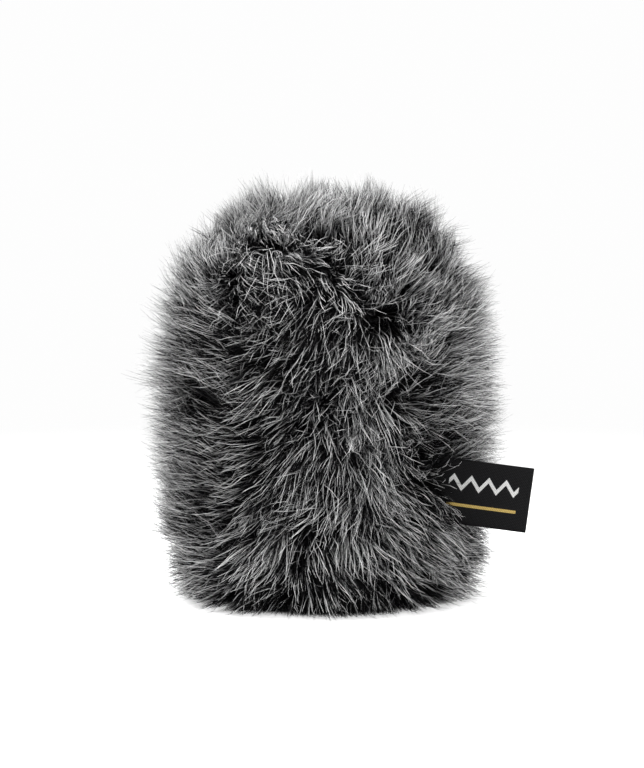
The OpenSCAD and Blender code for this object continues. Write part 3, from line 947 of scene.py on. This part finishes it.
class PileTree(GeometryTree):
    """Grows tapering fibres from a groomed backing, drawn together into wisps and tufts."""

    def __init__(self):
        super().__init__("Pile")
        self.density = self.size("Fibres per square metre", 2.0e6)
        self.seed = self.size("Seed", 1)
        self.tuft_seed = self.size("Tuft seed", 7)
        self.steps = self.size("Points along a fibre", 6)
        self.width = self.size("Fibre width", 0.135 * MM)
        self.shortest = self.size("Shortest", 0.5)
        self.longest = self.size("Longest", 1.12)
        self.darkest = self.size("Darkest", 0.0)
        self.palest = self.size("Palest", 1.0)
        self.tuft_spacing = self.size("Tuft spacing", 5.5 * MM)
        self.tuft_pull = self.size("Tuft pull", 0.5)
        self.tuft_lean = self.size("Tuft lean", 0.7)
        self.wisp_spacing = self.size("Wisp spacing", 2.2 * MM)
        self.wisp_pull = self.size("Wisp pull", 0.4)
        self.wisp_lean = self.size("Wisp lean", 0.65)
        self.own_lean = self.size("Own lean", 0.58)
        self.wave_size = self.size("Wave", 1.5 * MM)
        self.crimp = self.size("Crimp", 0.75 * MM)
        self.floor = self.size("Lowest point", 0.25 * MM)
        self.build(self.material())

    def build(self, material):
        place = self.waved(self.drawn_together())
        place = self.off_the_floor(self.given_width(place))
        fibres = self.add("GeometryNodeSetPosition", {"Geometry": self.strands(), "Position": place})
        fibres = self.add("GeometryNodeSetShadeSmooth", {"Geometry": fibres})
        self.finish(self.with_map(fibres), material)

    def clear_of_label(self, root, root_way, tip_way, reach):
        """A fibre's reach, shortened where it would hang in front of the label."""
        way = self.scaled(self.summed(root_way, tip_way), 0.5)
        x, y, z = self.parts(self.summed(root, self.scaled(way, reach)))
        root_x = self.parts(root)[0]
        limit = self.mapped(z, label_low.z, label_high.z, LABEL_SHOWS_LOW, LABEL_SHOWS_HIGH)
        fitting = self.math("DIVIDE", self.math("SUBTRACT", limit, root_x), self.math("SUBTRACT", x, root_x))
        fitting = self.math("MINIMUM", self.math("MAXIMUM", fitting, LEAST_KEPT), 1.0)
        level = self.math("COMPARE", z, middle_height("label"), (label_high.z - label_low.z) / 2)
        front = self.math("LESS_THAN", y, label_high.y)
        right = self.math("GREATER_THAN", x, limit)
        crossing = self.product(level, front, right)
        clear = self.math("SUBTRACT", 1.0, crossing)
        return self.product(reach, self.math("MULTIPLY_ADD", crossing, fitting, clear))

    def with_reach(self, points, root, share):
        """Stores how far the fibres or leaders at some points reach."""
        reach = self.product(self.number("pile"), share)
        reach = self.clear_of_label(root, self.read("root_way"), self.read("tip_way"), reach)
        return self.store(points, "reach", reach, "FLOAT")

    def leaders(self, spacing, lean, seeds):
        """Points that lead the fibres near them, each leaning its own way."""
        seed = self.total(self.tuft_seed, seeds)
        inputs = {"Mesh": self.source, "Distance Min": spacing, "Density Max": LEADER_DENSITY, "Seed": seed}
        points = self.add("GeometryNodeDistributePointsOnFaces", inputs, distribute_method="POISSON")
        own = self.scaled(self.random_vector(self.total(self.tuft_seed, seeds + 1)), lean)
        root_way = self.summed(self.unit(self.read("stand")), self.scaled(own, LEADER_ROOT_LEAN))
        tip_way = self.summed(self.unit(self.read("comb")), own)
        points = self.store(points, "root_way", self.unit(root_way))
        points = self.store(points, "tip_way", self.unit(tip_way))
        share = self.random(self.total(self.tuft_seed, seeds + 2), *LEADER_SHARE)
        return self.with_reach(points, self.here(), share)

    def led(self, roots, name, leaders):
        """Stores on each root what it needs to know of the leader nearest to it."""
        sample = {"Geometry": leaders, "Sample Position": self.here()}
        nearest = self.add("GeometryNodeSampleNearest", sample, domain="POINT")
        roots = self.store(roots, name + "_root", self.from_index(leaders, self.here(), nearest))
        for way in ("root_way", "tip_way"):
            roots = self.store(roots, f"{name}_{way}", self.from_index(leaders, self.read(way), nearest))
        reach = self.from_index(leaders, self.number("reach"), nearest, "FLOAT")
        return self.store(roots, name + "_reach", reach, "FLOAT")

    def roots(self):
        """The fibres' roots, each with its own ways and those of the tuft and the wisp that lead it."""
        inputs = {"Mesh": self.source, "Density": self.density, "Seed": self.seed}
        roots = self.add("GeometryNodeDistributePointsOnFaces", inputs, distribute_method="RANDOM")
        roots = self.led(roots, "tuft", self.leaders(self.tuft_spacing, self.tuft_lean, TUFT_SEEDS))
        roots = self.led(roots, "wisp", self.leaders(self.wisp_spacing, self.wisp_lean, WISP_SEEDS))
        roots = self.store(roots, "root", self.here())
        roots = self.store(roots, "own", self.random_vector(self.total(self.seed, OWN_WAY)))
        roots = self.store(roots, "roll", self.random_vector(self.total(self.seed, ROLL_WAY)))
        tone = self.random(self.total(self.seed, TONE), self.darkest, self.palest)
        # Painted light and shade: the backing's stored shift makes each fibre's tone lighter or darker
        tone = self.add("ShaderNodeClamp", {0: self.total(tone, self.number("painted_light"))})
        roots = self.store(roots, "tone", tone, "FLOAT")
        roots = self.store(roots, "hold", self.random(self.total(self.seed, HOLD), *HOLD_RANGE), "FLOAT")
        stray = self.math("POWER", self.random(self.total(self.seed, STRAY)), STRAY_POWER)
        stray = self.product(self.own_lean, self.math("MULTIPLY_ADD", stray, STRAY_LEAN, KEPT_LEAN))
        root_way = self.summed(self.read("wisp_root_way"), self.scaled(self.read("own"), OWN_ROOT_LEAN))
        tip_way = self.summed(self.read("wisp_tip_way"), self.scaled(self.read("own"), stray))
        roots = self.store(roots, "root_way", self.unit(root_way))
        roots = self.store(roots, "tip_way", self.unit(tip_way))
        share = self.random(self.total(self.seed, SHARE), self.shortest, self.longest)
        return self.with_reach(self.store(roots, "share", share, "FLOAT"), self.read("root"), share)

    def strands(self):
        """One flat ribbon on each root, with its places across and along stored before it is bent."""
        sizes = {"Size X": 1.0, "Size Y": 1.0, "Vertices X": 2, "Vertices Y": self.steps}
        ribbon = self.add("GeometryNodeMeshGrid", sizes)
        across, along, _ = self.parts(self.here())
        ribbon = self.store(ribbon, "across", across, "FLOAT")
        ribbon = self.store(ribbon, "along", self.total(along, 0.5), "FLOAT")
        strands = self.add("GeometryNodeInstanceOnPoints", {"Points": self.roots(), "Instance": ribbon})
        return self.add("GeometryNodeRealizeInstances", {0: strands})

    def course(self, prefix, factor=1.0):
        """A curve that leaves its root along one way and ends along another."""
        along = self.number("along")
        bent = self.product(along, along, 0.5)
        straight = self.math("SUBTRACT", along, bent)
        leaving = self.scaled(self.read(prefix + "root_way"), straight)
        ending = self.scaled(self.read(prefix + "tip_way"), bent)
        reach = self.product(self.number(prefix + "reach"), factor)
        return self.summed(self.read(prefix + "root"), self.scaled(self.summed(leaving, ending), reach))

    def drawn_together(self):
        """A fibre's course, drawn to its wisp's and then to its tuft's, most of all at the tip."""
        place = self.course("")
        drawn = self.product(self.math("POWER", self.number("along"), HOLD_POWER), self.number("hold"))
        for prefix, pull in (("wisp_", self.wisp_pull), ("tuft_", self.tuft_pull)):
            place = self.mixed(self.product(drawn, pull), place, self.course(prefix, self.number("share")))
        return place

    def waved(self, place):
        """Adds a slow wave that the wisp's fibres share, and each fibre's own crimp."""
        along = self.number("along")
        loose = self.product(along, self.math("MULTIPLY_ADD", along, 1 - LOOSE_ROOT, LOOSE_ROOT))
        waves = (("wisp_root", WAVE_TURNS, self.wave_size), ("root", CRIMP_TURNS, self.crimp))
        for start, turns, size in waves:
            drift = self.scaled(SWIRL_DRIFT, self.product(along, turns))
            seat = self.summed(self.scaled(self.read(start), SWIRL_SCALE), drift)
            swirl = self.add("ShaderNodeTexNoise", {"Vector": seat, "Scale": 1.0, "Detail": 0.0}, "Color")
            # The noise runs from 0 to 1, and the wave to either side of its middle
            swirl = self.vector("SUBTRACT", swirl, (0.5, 0.5, 0.5))
            place = self.summed(place, self.scaled(swirl, self.product(size, loose, 2.0)))
        return place

    def given_width(self, place):
        """Spreads the ribbon, tapered to its tip, facing outwards with some roll of its own."""
        along = self.number("along")
        heading = self.mixed(along, self.read("root_way"), self.read("tip_way"))
        facing = self.summed(self.read("root_way"), self.scaled(self.read("roll"), ROLL))
        side = self.unit(self.vector("CROSS_PRODUCT", heading, facing))
        taper = self.math("SUBTRACT", 1.0, self.product(along, along, along, TAPER))
        width = self.product(self.width, self.mapped(self.number("tone"), *WIDENING_TONES, *WIDTH_SHARES))
        return self.summed(place, self.scaled(side, self.product(self.number("across"), taper, width)))

    def off_the_floor(self, place):
        """Keeps every point above a lowest height, a little different for each fibre."""
        x, y, z = self.parts(place)
        lowest = self.math("MULTIPLY_ADD", self.number("hold"), HANG_SCATTER, self.floor)
        return self.joined(x, y, self.math("MAXIMUM", z, lowest))

    def with_map(self, fibres):
        """Stores the map that carries the fibre's tone across it and its length up it."""
        span = 1 - 2 * MAP_MARGIN
        tone = self.math("MULTIPLY_ADD", self.number("tone"), span, MAP_MARGIN)
        u = self.math("MULTIPLY_ADD", self.number("across"), MAP_WIDTH, tone)
        v = self.math("MULTIPLY_ADD", self.number("along"), span, MAP_MARGIN)
        return self.store(fibres, BAKE_MAP, self.joined(u, v, 0.0), "FLOAT2", "CORNER")


# Each side panel's short name, the seam where it starts and the seed of its tufts. Then come the crown's
# seeds, what is added to a tuft seed for the underfur, the fibres to a square metre, and how the crown's
# tufts and all underfur differ from the rest
PANELS = {
    "fur_front_panel": ("front", "seam_front_left", 11),
    "fur_rear_right_panel": ("rear_right", "seam_front_right", 23),
    "fur_rear_left_panel": ("rear_left", "seam_rear", 37),
}
CROWN_TUFT_SEED = 53
CROWN_GUARD_SEED = 153
UNDERFUR_SEEDS = 300
GUARD_DENSITY = 3.3e6
CROWN_DENSITY = 13.5e6
CROWN_TUFTS = {"Tuft pull": 0.8, "Wisp pull": 0.55, "Tuft spacing": 4.5 * MM}
UNDERFUR = {
    "Points along a fibre": 4,
    "Shortest": 0.4,
    "Longest": 0.75,
    "Palest": 0.35,
    "Fibre width": 0.3 * MM,
    "Fibres per square metre": 3.0e6,
}


def add_coat(backing, node, name, tree, values, guard_seeds):
    """A backing's guard hair, in one piece for each seed, and its underfur."""
    for guard_name, seed in guard_seeds.items():
        declared(grown(backing, tree, guard_name, {**values, "Seed": seed}), "fur", node)
    underfur = {**values, **UNDERFUR, "Seed": UNDERFUR_SEEDS + values["Tuft seed"]}
    declared(grown(backing, tree, name + "_underfur", underfur), "fur", node)


def add_fur():
    """The four groomed backings, each with its guard hair and its underfur."""
    knit = knit_material()
    fibre = fibre_material()
    tree = PileTree().tree
    for node, (name, seam, tuft_seed) in PANELS.items():
        backing = declared(panel_backing(name + "_backing", SIDE_SEAMS[seam], knit), "fur", node)
        values = {"Material": fibre, "Tuft seed": tuft_seed, "Fibres per square metre": GUARD_DENSITY}
        guard_seeds = {f"{name}_guard_hair_{part}": 1000 * part + tuft_seed for part in (1, 2, 3)}
        add_coat(backing, node, name, tree, values, guard_seeds)
    backing = declared(crown_backing("crown_backing", knit), "fur", "fur_crown_panel")
    values = {"Material": fibre, "Tuft seed": CROWN_TUFT_SEED, "Fibres per square metre": CROWN_DENSITY}
    guard_seeds = {"crown_guard_hair": CROWN_GUARD_SEED}
    add_coat(backing, "fur_crown_panel", "crown", tree, {**values, **CROWN_TUFTS}, guard_seeds)


# ---------------------------------------------------------------- seams and hem

# How deep the side seams lie, their stitches' share of the CAD thread's thickness, the points in a
# round seam's path, and the hem's closer stitches
SEAM_SUNK = 0.3 * MM
SEAM_THICKNESS_SHARE = 0.75
RING_POINTS = 180
HEM_STITCHES = {"Pitch": 2.2 * MM, "Stitch length": 1.6 * MM}


def stitch_tree():
    """Lays stitches along a path, each a short fat length of thread a little off the path."""
    tree = GeometryTree("Stitches")
    pitch = tree.size("Pitch", 2.4 * MM)
    length = tree.size("Stitch length", 2.1 * MM)
    thickness = tree.size("Thread thickness", 0.5 * MM)
    skew = tree.size("Skew", 0.12)
    seed = tree.size("Seed", 3)
    material = tree.material()
    path = tree.add("GeometryNodeMeshToCurve", {"Mesh": tree.source})
    count = {"Curve": path, "Length": pitch}
    points = tree.add("GeometryNodeCurveToPoints", count, mode="LENGTH")
    tangent = points.node.outputs["Tangent"]
    turn = tree.summed(tangent, tree.scaled(tree.random_vector(seed), skew))
    turn = tree.add("FunctionNodeAlignRotationToVector", {"Vector": turn}, axis="X")
    stitch = tree.add("GeometryNodeMeshUVSphere", {"Segments": 8, "Rings": 6, "Radius": 0.5})
    stitch = tree.add("GeometryNodeSetShadeSmooth", {"Geometry": stitch})
    size = tree.joined(length, thickness, thickness)
    inputs = {"Points": points, "Instance": stitch, "Rotation": turn, "Scale": size}
    tree.finish(tree.add("GeometryNodeInstanceOnPoints", inputs), material)
    return tree.tree


def lay_stitches(name, line, closed, tree, values):
    """Stitches along a line of points, in place of the CAD thread."""
    edges = [(i, i + 1) for i in range(len(line) - 1)]
    if closed:
        edges.append((len(line) - 1, 0))
    path = mesh_object("path", line, [], edges=edges)
    piece = grown(path, tree, name + "_thread", values)
    bpy.data.objects.remove(path)
    declared(piece, "thread", name)


def add_seams():
    """The threads of the side seams, the crown's seam, the base's seam and the hem."""
    tree = stitch_tree()
    thread = {"Material": thread_material(), "Thread thickness": SEAM_THICKNESS_SHARE * thread_diameter}
    low = base_high.z + thread_diameter
    outline = dome_outline(cloth_radius, cloth_top, low, crown_radius, PANEL_ROWS)
    for name, azimuth in SIDE_SEAMS.items():
        line = around(np.full(len(outline), azimuth), outline[:, 0] - SEAM_SUNK, outline[:, 1])
        lay_stitches(name, line, False, tree, thread)

    hem_thickness = stitch_high.z - stitch_low.z
    hem_thread = {**thread, **HEM_STITCHES, "Thread thickness": hem_thickness}
    hem_radius = stitch_high.x - hem_thickness / 2
    base_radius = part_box("seam_base")[1].x - thread_diameter / 2
    rings = (
        ("seam_crown", crown_radius, middle_height("seam_crown"), thread),
        ("seam_base", base_radius, middle_height("base_panel"), thread),
        ("binding_stitches", hem_radius, middle_height("binding_stitches"), hem_thread),
    )
    for name, radius, height, values in rings:
        lay_stitches(name, around(all_round(RING_POINTS), radius, height), True, tree, values)


# The base cloth: its clearance from the hem, and the puckers that fade from its inner edge outwards
BASE_CLEARANCE = 0.1 * MM
BASE_THICKNESS = 0.45 * MM
BASE_ROWS = 13
BASE_PUCKERS = 26
PUCKER_DEPTH = 0.16 * MM
PUCKER_FADE = 1.5

# The hem's tape: its course round the elastic in degrees, open at the top, its gathers and how unevenly
# they fall, and the size that it was cut to
HEM_BORE = 13.3 * MM
BINDING_THICKNESS = 0.45 * MM
TAPE_COURSE = (100, 440)
TAPE_ROWS = 35
GATHERS = 34
GATHER_DEPTH = 0.05
UNEVEN_GATHERS = 0.6
UNEVEN_PLACES = 5

# The braided elastic inside it
ELASTIC_BORE = 14.1 * MM
BRAID_RIBS = 48
BRAID_DEPTH = 0.05 * MM
ELASTIC_ROWS = 24
ELASTIC_COLUMNS = 192

# Columns that each pucker and each gather takes
WAVE_COLUMNS = 12


def rounded_section(turns, half_width, half_height):
    """(sideways, upwards) offsets round a section that is nearly a box with rounded corners."""
    section = []
    for turn in turns:
        c, s = math.cos(turn), math.sin(turn)
        sideways = math.copysign(abs(c) ** 0.5, c) * half_width
        section.append((sideways, math.copysign(abs(s) ** 0.5, s) * half_height))
    return section


def add_base_cloth():
    """The cloth ring between the pile and the hem, puckered where it is drawn in."""
    azimuths = all_round(WAVE_COLUMNS * BASE_PUCKERS)
    inner, outer = hem_high.x + BASE_CLEARANCE, base_high.x
    rows = []
    for part in np.linspace(0, 1, BASE_ROWS):
        pucker = PUCKER_DEPTH * (1 - part) ** PUCKER_FADE * np.sin(np.radians(azimuths) * BASE_PUCKERS)
        rows.append(around(azimuths, inner + (outer - inner) * part, middle_height("base_panel") + pucker))
    material = woven_cloth_material("puckered_cloth", CLOTH_TONES, CLOTH_PITCH, outer)
    piece = cloth_sheet("base_cloth", np.array(rows), BASE_THICKNESS, material, round_ring=True)
    declared(piece, "base_cloth", "base_panel")


def add_binding():
    """The tape that is wrapped round the elastic and gathered by it."""
    azimuths = all_round(WAVE_COLUMNS * GATHERS)
    turn = np.radians(azimuths)
    gather = 1 + GATHER_DEPTH * np.sin(turn * GATHERS + UNEVEN_GATHERS * np.sin(turn * UNEVEN_PLACES))
    half_width = (hem_high.x - HEM_BORE) / 2 - BINDING_THICKNESS / 2
    half_height = (hem_high.z - hem_low.z) / 2 - BINDING_THICKNESS / 2
    middle_radius = hem_high.x - half_width - BINDING_THICKNESS / 2
    turns = np.radians(np.linspace(*TAPE_COURSE, TAPE_ROWS))
    section = rounded_section(turns, half_width, half_height)
    height = middle_height("mouth_binding")
    rows = [around(azimuths, middle_radius + x * gather, height + z * gather) for x, z in section]
    material = woven_cloth_material("folded_tape", TAPE_TONES, TAPE_PITCH, hem_high.x)
    piece = cloth_sheet("mouth_binding_tape", np.array(rows), BINDING_THICKNESS, material, round_ring=True)
    declared(piece, "binding_tape", "mouth_binding")


def braid_ribs(azimuths, number):
    """The ribs of the braid, shifted from row to row."""
    return BRAID_DEPTH * np.sin(np.radians(azimuths) * BRAID_RIBS + number * math.pi / 2)


def add_elastic():
    """The braided elastic inside the hem."""
    half_width = (elastic_high.x - ELASTIC_BORE) / 2
    half_height = (elastic_high.z - elastic_low.z) / 2
    section = rounded_section(np.radians(all_round(ELASTIC_ROWS)), half_width, half_height)
    radius, height = (ELASTIC_BORE + elastic_high.x) / 2, middle_height("mouth_elastic")
    profile = [(radius + x, height + z) for x, z in section]
    piece = turned("mouth_elastic_braid", profile, elastic_material(), ELASTIC_COLUMNS, braid_ribs)
    declared(piece, "elastic", "mouth_elastic")


# ---------------------------------------------------------------- foam and collar

FOAM_BORE = 10.7 * MM
COLLAR_SEAT = 13.1 * MM
COLLAR_CLEARANCE = 0.1 * MM
FOAM_COLUMNS = 144
FOAM_STEPS = 260
BORE_ROWS = 12
BORE_MARGIN = 2 * MM

# The unevenness of cut foam: its depth, and for each wave how often it goes round and how it drifts
CUT_DEPTH = 0.05 * MM
CUT_WAVES = ((23, 1.7), (37, 2.9))

# How far the foam's sharp edges are broken, at its foot, at its top and at its bore, and how near its
# section comes to the axis
FOOT_EDGE = 0.4 * MM
TOP_EDGE = 0.2 * MM
CUT_EDGE = 0.3 * MM
NEAR_AXIS = 0.02 * MM


def foam_cut(azimuths, number):
    """The slightly uneven surface of cut foam."""
    turn = np.radians(azimuths)
    return CUT_DEPTH * sum(np.sin(turn * waves + number * drift) for waves, drift in CUT_WAVES)


def sleeve_profile(outline):
    """The sleeve's section: its side, its top, its bore and the seat of the collar's flange."""
    low, top = sleeve_low.z, sleeve_high.z
    side = [p for p in outline if low + FOOT_EDGE < p[1] < top - TOP_EDGE]
    edge = side[-1][0]
    seat_top = collar_top + COLLAR_CLEARANCE
    bore = np.linspace(top - BORE_MARGIN, collar_top + BORE_MARGIN, BORE_ROWS)
    return [
        (COLLAR_SEAT + CUT_EDGE, low),
        (foam_radius - FOOT_EDGE, low),
        *side[::3],
        (edge, top - TOP_EDGE / 2),
        (edge - CUT_EDGE, top),
        (FOAM_BORE + CUT_EDGE, top),
        (FOAM_BORE, top - CUT_EDGE),
        *[(FOAM_BORE, z) for z in bore],
        (FOAM_BORE, seat_top),
        (COLLAR_SEAT, seat_top),
        (COLLAR_SEAT, low + CUT_EDGE),
    ]


def nose_profile(outline):
    """The nose's section: its flat foot, which is glued on the sleeve, and its dome."""
    foot = sleeve_high.z
    dome = [p for p in outline if p[1] > foot + CUT_EDGE]
    edge = dome[0][0]
    return [(NEAR_AXIS, foot), (edge / 2, foot), (edge - TOP_EDGE, foot), *dome[::3], (NEAR_AXIS, foam_top)]


def add_foam():
    """The foam sleeve with its bore and its collar seat, and the nose glued on it."""
    foam = foam_material()
    outline = dome_outline(foam_radius, foam_top, sleeve_low.z, TOP_EDGE, FOAM_STEPS).tolist()
    sleeve = turned("foam_sleeve_cut", sleeve_profile(outline), foam, FOAM_COLUMNS, foam_cut)
    declared(sleeve, "foam", "foam_sleeve")
    nose = turned("foam_nose_cut", nose_profile(outline), foam, FOAM_COLUMNS)
    declared(nose, "foam", "foam_nose")


def dress_collar():
    """Gives the CAD collar its rubber."""
    collar = frame["nodes"]["grip_collar"]
    collar.data.materials.clear()
    collar.data.materials.append(rubber_material())


# ---------------------------------------------------------------- label

RIBBON_WIDTH = 14.8 * MM
RIBBON_REACH = 21.7 * MM
RIBBON_TAIL = 2.4 * MM
RIBBON_THICKNESS = 0.3 * MM
RIBBON_ROWS = 17
RIBBON_STEPS = 57

# The gap between the ribbon's layers, at its tail and where it has opened
TAIL_GAP = 0.4 * MM
RIBBON_GAP = 0.85 * MM
OPENING = 4 * MM

# How the ribbon bends out of its seam, how far that bend shifts it, how far its far corners curl, the
# front layer's share of that curl, and how far its middle bows
RIBBON_BEND = 1.2 * MM
BEND_SHIFT = 0.1
CORNER_CURL = 0.35 * MM
FRONT_LAYER_CURL = 0.8
RIBBON_BOW = 0.25 * MM

# Where the ribbon starts and ends its bend as the label flaps, from the hinge
FLAP_START = (-1.8 * MM, 1.0 * MM, 0)
FLAP_END = (1.5 * MM, 0, 0)


def ribbon_course():
    """The ribbon's path from its tail out to the fold and back: (reach, layer) points."""
    out = [(x, -1.0) for x in np.linspace(-RIBBON_TAIL, RIBBON_REACH, RIBBON_STEPS)]
    turns = np.radians(np.arange(18, 180, 18))
    fold = [(RIBBON_REACH + RIBBON_GAP / 2 * math.sin(t), -math.cos(t)) for t in turns]
    back = [(x, 1.0) for x in np.linspace(RIBBON_REACH, -RIBBON_TAIL, RIBBON_STEPS)]
    return out + fold + back


def ribbon_place(reach, layer, across):
    """A place on the folded ribbon, from its reach past the hinge, its layer and its place across."""
    seam = math.radians(SIDE_SEAMS["seam_front_right"])
    radial = Vector((math.sin(seam), -math.cos(seam), 0))
    run = reach * math.cos(label_droop) + across * math.sin(label_droop)
    slant = math.sqrt(run * run + RIBBON_BEND * RIBBON_BEND)
    place = Vector(((slant + run) / 2, 0, 0)) - radial * ((slant - run) / 2)
    place += (radial - Vector((1, 0, 0))) * RIBBON_BEND * BEND_SHIFT

    # The two layers part a little way out of the seam
    opening = min(1.0, max(0.0, reach / OPENING))
    gap = TAIL_GAP + (RIBBON_GAP - TAIL_GAP) * opening * opening * (3 - 2 * opening)
    through = Vector((0, 1, 0))
    if run <= 0:
        through = Vector((-radial.y, radial.x, 0)) * 0.5 + Vector((0, 0.5, 0))
    place += through.normalized() * layer * gap / 2

    share = max(0.0, reach / RIBBON_REACH)
    curl = CORNER_CURL * share * share * (across / (RIBBON_WIDTH / 2))
    place.y += curl * (1 if layer > 0 else FRONT_LAYER_CURL)
    place.y -= RIBBON_BOW * math.sin(math.pi * min(1.0, share))
    place.z += -reach * math.sin(label_droop) + across * math.cos(label_droop)
    return hinge_point + place


def map_ribbon(piece, distance, rows):
    """Gives the ribbon a map in metres: along its length, and up from its lower edge."""
    layer = piece.data.uv_layers.new(name=RIBBON_MAP)
    for loop in piece.data.loops:
        i, j = divmod(loop.vertex_index % (len(rows) * len(distance)), len(distance))
        layer.data[loop.index].uv = (distance[j], rows[i] + RIBBON_WIDTH / 2)


def add_label():
    """One length of ribbon, folded in half, with both ends sewn into the right seam."""
    rows = np.linspace(-RIBBON_WIDTH / 2, RIBBON_WIDTH / 2, RIBBON_ROWS)
    course = ribbon_course()
    grid = np.array([[ribbon_place(reach, layer, across) for reach, layer in course] for across in rows])
    steps = np.linalg.norm(np.diff(grid[RIBBON_ROWS // 2], axis=0), axis=1)
    distance = np.concatenate([[0], np.cumsum(steps)])
    piece = cloth_sheet("folded_label", grid, RIBBON_THICKNESS, label_material(distance[-1]))
    map_ribbon(piece, distance, rows)
    start = hinge_point + Vector(FLAP_START)
    end = hinge_point + Vector(FLAP_END)
    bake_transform(piece, "windscreen", "side_label", start=tuple(start), end=tuple(end))
    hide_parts("label", "label_tail")


# ---------------------------------------------------------------- camera, light and floor

CAMERA_TARGET = Vector((-0.5 * MM, 0, 49.7 * MM))
CAMERA_AWAY = 0.75
CAMERA_ELEVATION = math.radians(6.0)
CAMERA_SENSOR = 36
CAMERA_LENS = 180.7

# Each softbox's place, its width and height, and its power in watts
SOFTBOXES = {
    "top_softbox": ((-0.14, -0.18, 0.75), (0.5, 0.4), 4.8),
    "left_softbox": ((-0.64, -0.44, 0.36), (0.4, 0.5), 4.7),
    "right_softbox": ((0.64, -0.44, 0.36), (0.4, 0.5), 4.2),
    "back_softbox": ((-0.12, 0.62, 0.42), (0.5, 0.4), 3.2),
}

# The floor's own brightness under the fur and just beyond it, and the radii between which it rises from
# the one to the other and then to full white
FLOOR_HALF = 3.0
FLOOR_GLOW_UNDER = 0.0
FLOOR_GLOW_NEAR = 0.8
FLOOR_CONTACT = (0.023, 0.030)
FLOOR_FADE = (0.06, 0.35)
FLOOR_COLOUR = (0.8, 0.8, 0.8, 1)
BLACK = (0.0, 0.0, 0.0, 1)
WHITE = (0.985, 0.985, 0.985, 1)
WORLD_LIGHT = 0.18


def aimed(place, target):
    """The turn that points a camera or a lamp from its place at a target."""
    return (target - Vector(place)).to_track_quat("-Z", "Y").to_euler()


def add_camera():
    """A long lens a little above the object's middle."""
    camera = bpy.data.cameras.new("camera")
    camera.sensor_fit = "HORIZONTAL"
    camera.sensor_width = CAMERA_SENSOR
    camera.lens = CAMERA_LENS
    holder = put_in_scene("camera", camera)
    back = Vector((0, -math.cos(CAMERA_ELEVATION), math.sin(CAMERA_ELEVATION)))
    holder.location = CAMERA_TARGET + CAMERA_AWAY * back
    holder.rotation_euler = aimed(holder.location, CAMERA_TARGET)
    bpy.context.scene.camera = holder


def add_softbox(name, place, size, power):
    """A softbox aimed at the object's middle."""
    lamp = bpy.data.lights.new(name, "AREA")
    lamp.shape = "RECTANGLE"
    lamp.size, lamp.size_y = size
    lamp.energy = power
    holder = put_in_scene(name, lamp)
    holder.location = place
    holder.rotation_euler = aimed(place, Vector((0, 0, pile_top / 2)))


def seen_directly(tree):
    """1 where the camera or a reflection sees the surface, and 0 where it only lights others."""
    path = tree.tree.nodes.new("ShaderNodeLightPath")
    seen = tree.math("MAXIMUM", path.outputs["Is Camera Ray"], path.outputs["Is Glossy Ray"])
    return tree.math("MAXIMUM", seen, path.outputs["Is Transmission Ray"])


def add_floor():
    """A white floor that keeps the object's shadow and fades into the white backdrop."""
    material = bpy.data.materials.new("white_floor")
    material.use_nodes = True
    tree = Tree(material.node_tree)
    material.node_tree.nodes.remove(material.node_tree.nodes["Principled BSDF"])
    away = tree.length(object_places(tree))
    seen = seen_directly(tree)
    near = tree.mapped(away, *FLOOR_CONTACT, FLOOR_GLOW_UNDER, FLOOR_GLOW_NEAR)
    far = tree.mapped(away, *FLOOR_FADE, 0.0, 1.0)
    glow = tree.product(seen, tree.total(near, tree.product(far, 1 - FLOOR_GLOW_NEAR)))
    colour = tree.blended(tree.product(seen, far), FLOOR_COLOUR, BLACK)
    diffuse = tree.add("ShaderNodeBsdfDiffuse", {"Color": colour})
    light = tree.add("ShaderNodeEmission", {"Color": WHITE, "Strength": glow})
    whole = tree.add("ShaderNodeAddShader", {0: diffuse, 1: light})
    tree.tree.links.new(whole, material.node_tree.nodes["Material Output"].inputs[0])
    corners = [(x * FLOOR_HALF, y * FLOOR_HALF, 0) for x, y in ((-1, -1), (1, -1), (1, 1), (-1, 1))]
    mesh_object("floor", corners, [(0, 1, 2, 3)], material, smooth=False)


def set_world():
    """A world that lights the object softly and is white where it is seen."""
    world = bpy.data.worlds.new("studio")
    bpy.context.scene.world = world
    world.use_nodes = True
    tree = Tree(world.node_tree)
    background = world.node_tree.nodes["Background"]
    strength = tree.math("MULTIPLY_ADD", seen_directly(tree), 1.0 - WORLD_LIGHT, WORLD_LIGHT)
    tree.tree.links.new(strength, background.inputs["Strength"])
    background.inputs["Color"].default_value = WHITE


def add_stage():
    """The camera, the floor, the world and the softboxes."""
    add_camera()
    add_floor()
    set_world()
    for name, (place, size, power) in SOFTBOXES.items():
        add_softbox(name, place, size, power)
    bpy.context.scene.view_settings.view_transform = "Standard"


add_fur()
add_seams()
add_base_cloth()
add_binding()
add_elastic()
add_foam()
dress_collar()
add_label()
add_stage()
